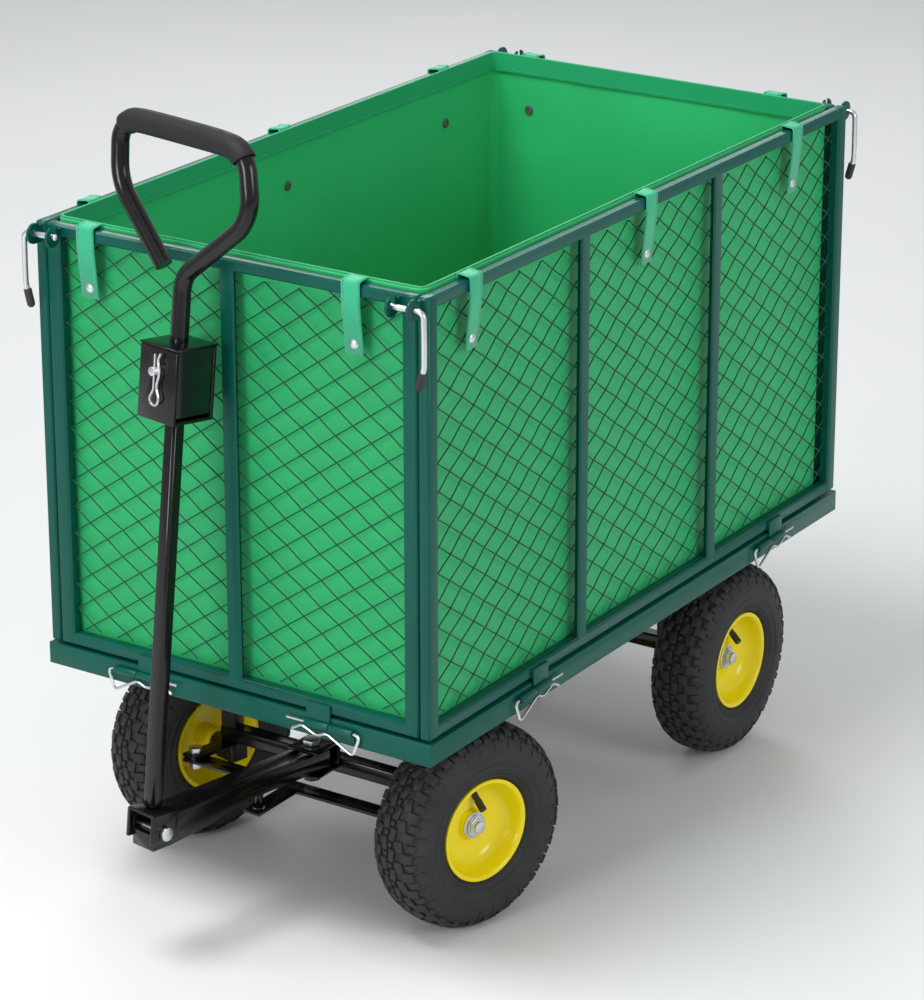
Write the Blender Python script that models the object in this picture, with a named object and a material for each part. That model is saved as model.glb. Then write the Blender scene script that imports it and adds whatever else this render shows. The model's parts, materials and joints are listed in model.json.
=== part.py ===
"""Four-wheeled steel garden cart with mesh sides, a fabric liner and a pull handle.

Frame: +X forward (tongue end), +Y the cart's left, +Z up, metres. The cart stands on Z = 0 and the
origin lies under the middle of its box. The model is first laid out about the bed's centre, and the
empty called "cart" then carries everything to that origin.
"""

import math

import bmesh
import bpy
from mathutils import Matrix, Vector

# ---------------------------------------------------------------- driving dimensions (metres)
GAP = 0.0003                # clearance between pieces that touch
RUN = 0.0005                # running clearance of a pivot or a sliding fit

BED_LENGTH = 0.980          # outside of the bed's angle-iron band
BED_WIDTH = 0.556
BED_TOP = 0.315
BAND_HEIGHT = 0.027
BAND_WALL = 0.003
LEDGE_WIDTH = 0.025
FLOOR_SHEET = 0.002

PANEL_INSET = 0.002         # panel faces stand this far inside the band
PANEL_DEPTH = 0.015
PANEL_TOP = 0.848
PANEL_LIFT = 0.003          # space under a panel's bottom rail
RAIL_HEIGHT = 0.015
POST_WIDTH = 0.020
BAR_DEPTH = 0.008
SIDE_BARS = 2               # upright bars in each long side
END_BARS = 1
MESH_SHEET = 0.0016
TUBE_BEVEL = 0.0025

LINER_WALL = 0.002
LINER_TOP = 0.852
LINER_CLEAR = 0.0015

HINGE_OFFSET_END = 0.140    # hinge centres of the short sides, either side of the middle
HINGE_AHEAD_SIDE = 0.275    # hinge centres of the long sides, before the middle and behind it
HINGE_BEHIND_SIDE = 0.300
KNUCKLE_LENGTH = 0.033
KNUCKLE_WALL = 0.002
HAIRPIN_RADIUS = 0.0018
HAIRPIN_CLEAR = 0.0006
HINGE_DROP = 0.009          # hinge axis below the bed's top

LATCH_ROD_RADIUS = 0.0035
LATCH_CLEAR = 0.0007
LATCH_STAND = 0.015         # rod axis in front of the panel face
LATCH_DROP = 0.011          # rod axis below the panel top
LATCH_EAR_RADIUS = 0.0125
LATCH_EAR_WALL = 0.003
LATCH_REACH = 0.047         # rod tip in from the band's outer face
LATCH_LEVER = 0.092         # lever's drop below the rod axis

AXLE_INSET = 0.195          # axles inside the bed's ends
TRACK_HALF = 0.212          # wheel centre plane from the middle
WHEEL_RADIUS = 0.130
TYRE_WIDTH = 0.082
RIM_RADIUS = 0.0645
RIM_WIDTH = 0.067
TYRE_SIDES = 28
RIM_SIDES = 20
NUT_SIDES = 12
SPINDLE_RADIUS = 0.008
SPINDLE_PROUD = 0.0235      # spindle end beyond the wheel's centre plane
HUB_INNER = 0.030
HUB_OUTER = 0.012

KINGPIN_Y = 0.150
KINGPIN_RADIUS = 0.007
BEAM_SIZE = 0.020
BEAM_BOTTOM = 0.1430
LEG_SIZE = 0.020
LEG_WALL = 0.002
REAR_LEG_Y = 0.133
CROSS_WIDTH = 0.030
STEER_ARM = 0.060
ARM_WALL = 0.005
ARM_WIDTH = 0.024
TIE_WIDTH = 0.024
TIE_BOLT_RADIUS = 0.004
DRIVE_PIN_RADIUS = 0.005
DRIVE_PIN_CLEAR = 0.0030    # the pin runs a little to and fro as the tongue turns

KINGBOLT_INSET = 0.155      # kingbolt inside the bed's front end
KINGBOLT_RADIUS = 0.006
TONGUE_WIDTH = 0.035
TONGUE_HEIGHT = 0.023
TONGUE_TOP = 0.1825         # at the kingbolt
TONGUE_RISE = math.radians(1.7)
TONGUE_BACK = 0.013
TONGUE_WALL = 0.0025
FORK_REACH = 0.265          # pivot bolt ahead of the kingbolt
FORK_NOSE = 0.014           # tongue end ahead of the pivot bolt
FORK_DROP = 0.019           # pivot bolt below the tongue's top
FORK_BOLT_RADIUS = 0.004
GUSSET_DEPTH = 0.017
GUSSET_LENGTH = 0.150

STEER_REST = math.radians(-9.5)     # the tongue stands turned to the cart's right
WHEEL_RATIO = 1.5                   # front wheels turn this much more than the tongue
HANDLE_LEAN = math.radians(6.3)     # handle leaning back on its stop

FOOT_WALL = 0.004
FOOT_SIDE_CLEAR = 0.0005
FOOT_HALF_LENGTH = 0.020
FOOT_SKIRT = 0.012
POLE_SIZE = 0.019
POLE_TOP = 0.4980           # along the handle, from the pivot bolt
CLEVIS_SIZE = 0.062
CLEVIS_WALL = 0.004
CLEVIS_HEIGHT = 0.086
BOX_WALL = 0.003
CAP_WALL = 0.003
CAP_LIP = 0.0015
PIN_RADIUS = 0.0055
PIN_HEIGHT = 0.0560         # clevis pin above the clevis floor
LOOP_RADIUS = 0.0106
GRIP_RADIUS = 0.0150
GRIP_CLEAR = 0.0007
GRIP_RIGHT = -0.110         # the grip's right end
LOOP_TOP = 0.828            # top of the loop's centre line, along the handle

# ---------------------------------------------------------------- dependent sizes
HALF_L = BED_LENGTH / 2
HALF_W = BED_WIDTH / 2
AXLE_X = HALF_L - AXLE_INSET        # axles before and behind the bed's middle
KINGBOLT_X = HALF_L - KINGBOLT_INSET
BED_BOTTOM = BED_TOP - BAND_HEIGHT
PANEL_X = HALF_L - PANEL_INSET
PANEL_Y = HALF_W - PANEL_INSET
PANEL_BOTTOM = BED_TOP + PANEL_LIFT
SIDE_INNER_Y = PANEL_Y - PANEL_DEPTH
END_HALF = SIDE_INNER_Y - RUN
HINGE_Z = BED_TOP - HINGE_DROP
KNUCKLE_BORE = HAIRPIN_RADIUS + HAIRPIN_CLEAR
KNUCKLE_RADIUS = KNUCKLE_BORE + KNUCKLE_WALL
HINGE_OUT = KNUCKLE_RADIUS + RUN    # hinge axis outside the band's face
LATCH_X = PANEL_X + LATCH_STAND
LATCH_Z = PANEL_TOP - LATCH_DROP
WHEEL_Z = WHEEL_RADIUS
STUB = TRACK_HALF - KINGPIN_Y       # kingpin to wheel centre
CROSS_TOP = BED_TOP - BAND_WALL - GAP
CROSS_HEIGHT = BAND_HEIGHT - BAND_WALL + 0.0025
LEG_TOP = CROSS_TOP - CROSS_HEIGHT - GAP
BEAM_TOP = BEAM_BOTTOM + BEAM_SIZE
KNUCKLE_TOP = BEAM_BOTTOM - GAP
TIE_TOP = KNUCKLE_TOP - ARM_WALL - GAP
TONGUE_MID = TONGUE_TOP - TONGUE_HEIGHT / 2
PIVOT_LOCAL = Vector((FORK_REACH, 0, TONGUE_HEIGHT / 2 - FORK_DROP))
FOOT_TOP_IN = FORK_DROP + FOOT_HALF_LENGTH * math.tan(HANDLE_LEAN) + 0.0005
FOOT_TOP = FOOT_TOP_IN + FOOT_WALL
CLEVIS_FLOOR = POLE_TOP + GAP + CLEVIS_WALL
CLEVIS_TOP = POLE_TOP + GAP + CLEVIS_HEIGHT
PIN_Z = CLEVIS_FLOOR + PIN_HEIGHT
CAP_TOP = CLEVIS_TOP + GAP + CAP_WALL
FRONT_WHEEL_REST = STEER_REST * WHEEL_RATIO
DRIVE_CRANK = STEER_ARM * WHEEL_RATIO       # drive pin ahead of the kingbolt
DRIVE_TAB = KINGBOLT_X + DRIVE_CRANK - AXLE_X - STEER_ARM + 0.0023

# colour, roughness, metallic
MATERIALS = {
    "green_frame": ((0.010, 0.115, 0.085, 1), 0.38, 0.0),
    "green_mesh": ((0.006, 0.075, 0.055, 1), 0.42, 0.0),
    "black_steel": ((0.012, 0.012, 0.013, 1), 0.35, 0.0),
    "foam": ((0.020, 0.020, 0.021, 1), 0.75, 0.0),
    "rubber": ((0.030, 0.030, 0.033, 1), 0.80, 0.0),
    "yellow_rim": ((0.760, 0.580, 0.020, 1), 0.30, 0.0),
    "zinc": ((0.720, 0.730, 0.740, 1), 0.28, 1.0),
    "liner": ((0.030, 0.400, 0.150, 1), 0.62, 0.0),
}


# ---------------------------------------------------------------- small tools
def clear_scene():
    for item in list(bpy.data.objects):
        bpy.data.objects.remove(item, do_unlink=True)


def material(key):
    found = bpy.data.materials.get(key)
    if found:
        return found
    colour, rough, metal = MATERIALS[key]
    made = bpy.data.materials.new(key)
    made.use_nodes = True
    shader = made.node_tree.nodes["Principled BSDF"]
    shader.inputs["Base Color"].default_value = colour
    shader.inputs["Roughness"].default_value = rough
    shader.inputs["Metallic"].default_value = metal
    made.diffuse_color = colour
    return made


def empty(name, parent=None, location=(0, 0, 0), rotation=None):
    made = bpy.data.objects.new(name, None)
    bpy.context.scene.collection.objects.link(made)
    made.parent = parent
    made.location = location
    if rotation is not None:
        made.rotation_euler = rotation
    return made


def node(name, bm, mat, parent, location=(0, 0, 0), smooth=False):
    """Turn a bmesh into the finished sub-part, and free the bmesh."""
    bmesh.ops.recalc_face_normals(bm, faces=bm.faces)
    mesh = bpy.data.meshes.new(name)
    bm.to_mesh(mesh)
    bm.free()
    if smooth:
        mesh.shade_smooth()
        mesh.set_sharp_from_angle(angle=math.radians(35))
    mesh.materials.append(material(mat))
    made = bpy.data.objects.new(name, mesh)
    bpy.context.scene.collection.objects.link(made)
    made.parent = parent
    made.location = location
    return made


def block(low, high, bevel=0.0):
    """A box between two corners, its edges bevelled."""
    bm = bmesh.new()
    size = Vector(high) - Vector(low)
    middle = (Vector(high) + Vector(low)) / 2
    place = Matrix.Translation(middle) @ Matrix.Diagonal(size).to_4x4()
    bmesh.ops.create_cube(bm, size=1.0, matrix=place)
    if bevel:
        bmesh.ops.bevel(bm, geom=bm.edges[:], offset=bevel, segments=1, profile=0.5, affect="EDGES")
    return bm


def rod(radius, start, end, sides=16):
    """A round bar between two points."""
    start, end = Vector(start), Vector(end)
    turn = (end - start).to_track_quat("Z", "Y").to_matrix().to_4x4()
    bm = bmesh.new()
    bmesh.ops.create_cone(
        bm, cap_ends=True, segments=sides, radius1=radius, radius2=radius, depth=(end - start).length,
        matrix=Matrix.Translation((start + end) / 2) @ turn,
    )
    return bm


def prism(outline, axis, low, high):
    """An outline pushed along an axis. The outline's pairs fill the other two axes in X, Y, Z order."""
    bm = bmesh.new()

    def place(pair, along):
        spot = list(pair)
        spot.insert("XYZ".index(axis), along)
        return bm.verts.new(spot)

    first = [place(pair, low) for pair in outline]
    last = [place(pair, high) for pair in outline]
    bm.faces.new(first)
    bm.faces.new(last[::-1])
    count = len(outline)
    for i in range(count):
        j = (i + 1) % count
        bm.faces.new((first[i], last[i], last[j], first[j]))
    bm.normal_update()
    bmesh.ops.triangulate(bm, faces=[face for face in bm.faces if len(face.verts) > 4])
    return bm


def turned(profile, sides):
    """A closed (radius, y) outline turned right round the Y axis."""
    bm = bmesh.new()
    rings = []
    for k in range(sides):
        angle = 2 * math.pi * (k + 0.5) / sides - math.pi / 2
        rings.append([bm.verts.new((r * math.cos(angle), y, r * math.sin(angle))) for r, y in profile])
    count = len(profile)
    for k in range(sides):
        here, there = rings[k], rings[(k + 1) % sides]
        for i in range(count):
            j = (i + 1) % count
            bm.faces.new((here[i], here[j], there[j], there[i]))
    return bm


def rounded(points, radii, step=math.radians(22.5)):
    """The corners of a path turned into arcs of the given radii."""
    points = [Vector(p) for p in points]
    path = [points[0]]
    for before, corner, after, radius in zip(points, points[1:], points[2:], radii):
        to_before = (before - corner).normalized()
        to_after = (after - corner).normalized()
        turn = math.pi - to_before.angle(to_after)
        reach = radius * math.tan(turn / 2)
        start = corner + to_before * reach
        centre = corner + (to_before + to_after).normalized() * radius / math.cos(turn / 2)
        normal = to_before.cross(to_after).normalized()
        steps = max(1, round(turn / step))
        for k in range(steps + 1):
            spin = Matrix.Rotation(-turn * k / steps, 3, normal)
            path.append(centre + spin @ (start - centre))
    path.append(points[-1])
    return path


def swept(path, radius, sides=8):
    """A round bar along a path, cut square at both ends."""
    bm = bmesh.new()
    path = [Vector(p) for p in path]
    heading = (path[1] - path[0]).normalized()
    side = heading.orthogonal().normalized()
    rings = []
    for i, spot in enumerate(path):
        ahead = (path[min(i + 1, len(path) - 1)] - path[max(i - 1, 0)]).normalized()
        side = (side - ahead * side.dot(ahead)).normalized()
        other = ahead.cross(side)
        ring = []
        for k in range(sides):
            angle = 2 * math.pi * k / sides
            ring.append(bm.verts.new(spot + radius * (math.cos(angle) * side + math.sin(angle) * other)))
        rings.append(ring)
    for here, there in zip(rings, rings[1:]):
        for k in range(sides):
            j = (k + 1) % sides
            bm.faces.new((here[k], here[j], there[j], there[k]))
    bm.faces.new(rings[0][::-1])
    bm.faces.new(rings[-1])
    return bm


def scratch_object(bm):
    bmesh.ops.recalc_face_normals(bm, faces=bm.faces)
    mesh = bpy.data.meshes.new("scratch")
    bm.to_mesh(mesh)
    bm.free()
    made = bpy.data.objects.new("scratch", mesh)
    bpy.context.scene.collection.objects.link(made)
    return made


def combined(base, adds=(), cuts=()):
    """Exact union of base with adds, less cuts, as one bmesh."""
    body = scratch_object(base)
    tools = []
    for operation, pieces in (("UNION", adds), ("DIFFERENCE", cuts)):
        for piece in pieces:
            tool = scratch_object(piece)
            tools.append(tool)
            step = body.modifiers.new("step", "BOOLEAN")
            step.operation = operation
            step.solver = "EXACT"
            step.object = tool
    bpy.context.view_layer.update()
    seen = body.evaluated_get(bpy.context.evaluated_depsgraph_get())
    result = bmesh.new()
    result.from_mesh(seen.to_mesh())
    seen.to_mesh_clear()
    for item in tools + [body]:
        bpy.data.objects.remove(item, do_unlink=True)
    bmesh.ops.remove_doubles(result, verts=result.verts, dist=1e-6)
    bmesh.ops.dissolve_degenerate(result, edges=result.edges, dist=1e-6)
    return result


def moved(bm, matrix):
    bmesh.ops.transform(bm, matrix=matrix, verts=bm.verts)
    return bm


# ---------------------------------------------------------------- hinge knuckles and hairpins
def curl(direction, tab, foot_depth):
    """Section of a rolled knuckle in (outward, up), round the hinge axis: a tab and its curl.

    direction is +1 for a tab that goes up, -1 for one that goes down.
    """
    outer, inner = KNUCKLE_RADIUS, KNUCKLE_BORE
    outline = [(-foot_depth, direction * tab), (-foot_depth, direction * (HINGE_DROP + PANEL_LIFT + 0.001))]
    if direction < 0:
        outline = [(-foot_depth, direction * tab), (-foot_depth, direction * outer)]
    outline.append((-outer, outline[-1][1]))
    turns = 10
    sweep = math.radians(285)
    for k in range(turns + 1):
        angle = math.pi + direction * sweep * k / turns
        outline.append((outer * math.cos(angle), outer * math.sin(angle)))
    for k in range(turns, -1, -1):
        angle = math.pi + direction * sweep * k / turns
        outline.append((inner * math.cos(angle), inner * math.sin(angle)))
    outline.append((-inner, direction * tab))
    return outline


def knuckle(direction, tab, foot_depth, low, high):
    """A rolled knuckle along +X, outward = +Y, round the X axis."""
    return prism(curl(direction, tab, foot_depth), "X", low, high)


def hinge_frames():
    """Each hinge's name, place on its axis and turn: local X along the axis, local Y outward."""
    frames = []
    for sign, side in ((1, "left"), (-1, "right")):
        for along, where in ((HINGE_AHEAD_SIDE, "front"), (-HINGE_BEHIND_SIDE, "back")):
            spot = Vector((along, sign * (HALF_W + HINGE_OUT), HINGE_Z))
            turn = Matrix.Rotation(0 if sign > 0 else math.pi, 4, "Z")
            frames.append((side, where, spot, turn, sign))
    for sign, side in ((1, "front"), (-1, "rear")):
        for end, where in ((1, "left"), (-1, "right")):
            spot = Vector((sign * (HALF_L + HINGE_OUT), end * HINGE_OFFSET_END, HINGE_Z))
            turn = Matrix.Rotation(-math.pi / 2 if sign > 0 else math.pi / 2, 4, "Z")
            frames.append((side, where, spot, turn, -end * sign))
    return frames


def hinge_knuckle(spot, turn, eye, part):
    """The bed's knuckle is next to the hairpin's eye, the panel's is beyond it."""
    half_gap = RUN
    low, high = (half_gap, KNUCKLE_LENGTH + half_gap)
    if part == "panel":
        low, high = -high, -low
    if eye < 0:
        low, high = -high, -low
    if part == "panel":
        tab = HINGE_DROP + PANEL_LIFT + RAIL_HEIGHT - 0.002
        bm = knuckle(1, tab, HINGE_OUT + PANEL_INSET + 0.0005, low, high)
    else:
        bm = knuckle(-1, BAND_HEIGHT - HINGE_DROP - 0.005, HINGE_OUT + 0.0005, low, high)
    return moved(bm, Matrix.Translation(spot) @ turn)


def hairpin(spot, turn, eye):
    """A hairpin clip: its straight leg is the hinge pin, its waved leg hangs below the knuckles."""
    end = KNUCKLE_LENGTH + half_wire()
    drop = KNUCKLE_RADIUS + HAIRPIN_RADIUS + 0.0006
    points = [
        (-end - 0.026, 0, 0),
        (end + 0.010, 0, 0),
        (end, 0.001, -0.027),
        (-0.002, 0.002, -drop),
        (-0.016, 0.002, -drop - 0.006),
        (-end - 0.004, 0.001, -HAIRPIN_RADIUS * 2 - 0.0008),
        (-end - 0.018, 0.001, -0.012),
    ]
    path = rounded(points, (0.005, 0.004, 0.006, 0.008, 0.006), math.radians(40))
    if eye < 0:
        path = [Vector((-p.x, p.y, p.z)) for p in path]
    return moved(swept(path, HAIRPIN_RADIUS, 6), Matrix.Translation(spot) @ turn)


def half_wire():
    return HAIRPIN_RADIUS / 2


# ---------------------------------------------------------------- bed
def bed_band():
    """Angle iron round the bed: an upright leg outside and a ledge inward at the top."""
    section = [
        (0, BED_BOTTOM), (BAND_WALL, BED_BOTTOM), (BAND_WALL, BED_TOP - BAND_WALL),
        (LEDGE_WIDTH, BED_TOP - BAND_WALL), (LEDGE_WIDTH, BED_TOP), (0, BED_TOP),
    ]
    bm = bmesh.new()
    corners = ((1, 1), (-1, 1), (-1, -1), (1, -1))
    rings = []
    for sx, sy in corners:
        rings.append([bm.verts.new((sx * (HALF_L - d), sy * (HALF_W - d), z)) for d, z in section])
    count = len(section)
    for k in range(4):
        here, there = rings[k], rings[(k + 1) % 4]
        for i in range(count):
            j = (i + 1) % count
            bm.faces.new((here[i], here[j], there[j], there[i]))
    return bm


def build_bed(cart):
    knuckles = [hinge_knuckle(spot, turn, eye, "bed") for _, _, spot, turn, eye in hinge_frames()]
    node("bed_frame", combined(bed_band(), adds=knuckles), "green_frame", cart)
    for side, where, spot, turn, eye in hinge_frames():
        node(f"hairpin_{side}_{where}", hairpin(spot, turn, eye), "zinc", cart, smooth=True)

    floor_x = PANEL_X - PANEL_DEPTH - LINER_CLEAR
    floor_y = SIDE_INNER_Y - LINER_CLEAR
    floor_low = BED_TOP + GAP
    sheet = block((-floor_x, -floor_y, floor_low), (floor_x, floor_y, floor_low + FLOOR_SHEET))
    node("bed_floor", sheet, "green_mesh", cart)
    reach = HALF_W - BAND_WALL - GAP
    for name, x in (("cross_front", AXLE_X), ("cross_rear", -AXLE_X)):
        low = (x - CROSS_WIDTH / 2, -reach, CROSS_TOP - CROSS_HEIGHT)
        node(name, block(low, (x + CROSS_WIDTH / 2, reach, CROSS_TOP)), "black_steel", cart)
    return floor_low + FLOOR_SHEET


def square_tube(centre_x, centre_y, low, high):
    """An upright square tube, open at both ends."""
    bm = bmesh.new()
    rings = []
    for half in (LEG_SIZE / 2, LEG_SIZE / 2 - LEG_WALL):
        for z in (low, high):
            ring = []
            for sx, sy in ((1, 1), (-1, 1), (-1, -1), (1, -1)):
                ring.append(bm.verts.new((centre_x + sx * half, centre_y + sy * half, z)))
            rings.append(ring)
    outer_low, outer_high, inner_low, inner_high = rings
    for k in range(4):
        j = (k + 1) % 4
        bm.faces.new((outer_low[k], outer_low[j], outer_high[j], outer_high[k]))
        bm.faces.new((inner_low[j], inner_low[k], inner_high[k], inner_high[j]))
        bm.faces.new((outer_high[k], outer_high[j], inner_high[j], inner_high[k]))
        bm.faces.new((outer_low[j], outer_low[k], inner_low[k], inner_low[j]))
    return bm


# ---------------------------------------------------------------- running gear
def build_legs(cart):
    for name, x, y, low in (
        ("leg_front_left", AXLE_X, KINGPIN_Y, BEAM_TOP + GAP),
        ("leg_front_right", AXLE_X, -KINGPIN_Y, BEAM_TOP + GAP),
        ("leg_rear_left", -AXLE_X, REAR_LEG_Y, WHEEL_Z + BEAM_SIZE / 2 + GAP),
        ("leg_rear_right", -AXLE_X, -REAR_LEG_Y, WHEEL_Z + BEAM_SIZE / 2 + GAP),
    ):
        node(name, square_tube(x, y, low, LEG_TOP), "black_steel", cart)


def build_axles(cart):
    half = BEAM_SIZE / 2
    beam_end = KINGPIN_Y + 0.013
    beam = block((AXLE_X - half, -beam_end, BEAM_BOTTOM), (AXLE_X + half, beam_end, BEAM_TOP), 0.0015)
    holes = []
    for sign in (1, -1):
        spot = (AXLE_X, sign * KINGPIN_Y)
        holes.append(rod(KINGPIN_RADIUS + RUN, (*spot, BEAM_BOTTOM - 0.01), (*spot, BEAM_TOP + 0.01), 16))
    node("front_beam", combined(beam, cuts=holes), "black_steel", cart)

    reach = REAR_LEG_Y + LEG_SIZE / 2 + 0.004
    hub_face = TRACK_HALF - HUB_INNER - GAP
    tip = TRACK_HALF + SPINDLE_PROUD
    axle = block((-AXLE_X - half, -reach, WHEEL_Z - half), (-AXLE_X + half, reach, WHEEL_Z + half), 0.0015)
    adds = []
    for sign in (1, -1):
        collar_in = (-AXLE_X, sign * (reach - 0.004), WHEEL_Z)
        adds.append(rod(0.013, collar_in, (-AXLE_X, sign * hub_face, WHEEL_Z)))
        start = (-AXLE_X, sign * (hub_face - 0.004), WHEEL_Z)
        adds.append(rod(SPINDLE_RADIUS, start, (-AXLE_X, sign * tip, WHEEL_Z)))
    node("rear_axle", combined(axle, adds=adds), "black_steel", cart, smooth=True)


def knuckle_body(sign):
    """Steering knuckle about its kingpin: stud, block, arm and wheel spindle. sign +1 is the left one."""
    spindle_z = WHEEL_Z
    base = block((-0.013, -0.013, spindle_z - 0.013), (0.013, 0.020, KNUCKLE_TOP), 0.0015)
    arm_low = KNUCKLE_TOP - ARM_WALL
    arm_end = STEER_ARM + ARM_WIDTH / 2
    arm = block((0, -ARM_WIDTH / 2, arm_low), (arm_end, ARM_WIDTH / 2, KNUCKLE_TOP), 0.001)
    stud = rod(KINGPIN_RADIUS, (0, 0, KNUCKLE_TOP - 0.004), (0, 0, BEAM_TOP + 0.010), 16)
    hub_face = STUB - HUB_INNER - GAP
    collar = rod(0.013, (0, 0.010, spindle_z), (0, hub_face, spindle_z), 16)
    spindle = rod(SPINDLE_RADIUS, (0, 0.012, spindle_z), (0, STUB + SPINDLE_PROUD, spindle_z), 16)
    spot = (STEER_ARM, 0)
    hole = rod(TIE_BOLT_RADIUS + GAP, (*spot, arm_low - 0.005), (*spot, KNUCKLE_TOP + 0.005), 12)
    bm = combined(base, adds=[arm, stud, collar, spindle], cuts=[hole])
    if sign < 0:
        moved(bm, Matrix.Diagonal((1, -1, 1, 1)))
        bmesh.ops.reverse_faces(bm, faces=bm.faces)
    return bm


def tie_bolt():
    """Bolt through the arm and the tie bar, its head above the arm."""
    low = TIE_TOP - ARM_WALL - 0.010
    shank = rod(TIE_BOLT_RADIUS, (0, 0, low), (0, 0, KNUCKLE_TOP + 0.001), 12)
    head = rod(0.0085, (0, 0, KNUCKLE_TOP + GAP), (0, 0, KNUCKLE_TOP + 0.0085), 6)
    nut = rod(0.0080, (0, 0, low + 0.001), (0, 0, TIE_TOP - ARM_WALL - GAP), 6)
    return combined(head, adds=[shank, nut])


def build_steering(cart):
    pins = {}
    for sign, side in ((1, "left"), (-1, "right")):
        pivot = empty(f"kingpin_{side}", cart, (AXLE_X, sign * KINGPIN_Y, 0), (0, 0, FRONT_WHEEL_REST))
        node(f"knuckle_{side}", knuckle_body(sign), "black_steel", pivot, smooth=True)
        node(f"tie_bolt_{side}", tie_bolt(), "zinc", pivot, (STEER_ARM, 0, 0))
        pins[side] = pivot

    arm = Matrix.Rotation(FRONT_WHEEL_REST, 4, "Z") @ Vector((STEER_ARM, 0, 0))
    bar_at = empty("tie_pin", cart, (AXLE_X + arm.x, KINGPIN_Y + arm.y, 0))
    reach = TIE_WIDTH / 2
    span = 2 * KINGPIN_Y
    bar = block((-reach, -span - reach, TIE_TOP - ARM_WALL), (reach, reach, TIE_TOP), 0.001)
    middle = -span / 2
    tab_low = (0, middle - reach, TIE_TOP - ARM_WALL + 0.0003)
    tab = block(tab_low, (DRIVE_TAB + 0.016, middle + reach, TIE_TOP - 0.0003), 0.001)
    spot = (DRIVE_TAB, middle)
    eye = rod(DRIVE_PIN_RADIUS + DRIVE_PIN_CLEAR, (*spot, TIE_TOP - 0.02), (*spot, TIE_TOP + 0.01), 16)
    holes = [eye]
    for y in (0, -span):
        holes.append(rod(TIE_BOLT_RADIUS + RUN, (0, y, TIE_TOP - 0.02), (0, y, TIE_TOP + 0.01), 12))
    node("tie_bar", combined(bar, adds=[tab], cuts=holes), "black_steel", bar_at)
    return pins


# ---------------------------------------------------------------- wheels
def tyre_profile():
    """C-shaped casing, open towards the rim."""
    half = TYRE_WIDTH / 2
    top = WHEEL_RADIUS
    bead = RIM_RADIUS - 0.006
    lip = RIM_WIDTH / 2 - 0.0043
    one_side = [
        (bead, lip - 0.012), (bead, lip), (RIM_RADIUS + 0.0007, lip + 0.0009),
        (RIM_RADIUS + 0.0030, lip + 0.0055), (RIM_RADIUS + 0.0235, half),
        (top - 0.014, half - 0.003), (top, half - 0.022),
    ]
    inside = [(top - 0.008, 0.016), (top - 0.022, half - 0.008), (RIM_RADIUS + 0.010, half - 0.008)]
    outer = one_side + [(r, -y) for r, y in reversed(one_side)]
    inner = [(r, -y) for r, y in reversed(inside)] + inside
    return outer + inner


def rim_profile():
    """Dished disc, hub tube and the tyre's well, as one section."""
    half = RIM_WIDTH / 2
    bead = RIM_RADIUS - 0.0065
    bore = SPINDLE_RADIUS + GAP
    return [
        (bore, HUB_OUTER), (0.0155, HUB_OUTER), (0.0190, 0.0040), (0.0500, 0.0060), (0.0540, half - 0.0075),
        (RIM_RADIUS, half), (RIM_RADIUS, half - 0.0030), (bead, half - 0.0040), (bead, half - 0.0180),
        (bead - 0.0045, 0.0100), (bead - 0.0045, -0.0100), (bead, -half + 0.0180), (bead, -half + 0.0040),
        (RIM_RADIUS, -half + 0.0030), (RIM_RADIUS, -half), (0.0540, -half + 0.0075), (0.0500, 0.0015),
        (0.0190, 0.0), (0.0155, -HUB_INNER), (bore, -HUB_INNER),
    ]


def nut_profile():
    """Washer and nut on the spindle, as one stepped ring."""
    bore = (SPINDLE_RADIUS + GAP) / math.cos(math.pi / NUT_SIDES)
    washer, foot, top = SPINDLE_RADIUS + 0.0065, SPINDLE_RADIUS + 0.0035, SPINDLE_RADIUS + 0.0025
    start = HUB_OUTER + GAP
    return [(bore, start), (washer, start), (washer, start + 0.002), (foot, start + 0.002),
            (top, start + 0.0085), (bore, start + 0.0085)]


def build_wheels(cart, pins):
    for name, parent, spot, sign in (
        ("front_left", pins["left"], (0, STUB, WHEEL_Z), 1),
        ("front_right", pins["right"], (0, -STUB, WHEEL_Z), -1),
        ("rear_left", cart, (-AXLE_X, TRACK_HALF, WHEEL_Z), 1),
        ("rear_right", cart, (-AXLE_X, -TRACK_HALF, WHEEL_Z), -1),
    ):
        hub = empty(f"hub_{name}", parent, spot, (0, 0, 0 if sign > 0 else math.pi))
        node(f"tyre_{name}", turned(tyre_profile(), TYRE_SIDES), "rubber", hub, smooth=True)
        node(f"rim_{name}", turned(rim_profile(), RIM_SIDES), "yellow_rim", hub, smooth=True)
        node(f"axle_nut_{name}", turned(nut_profile(), NUT_SIDES), "zinc", hub, smooth=True)


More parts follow.
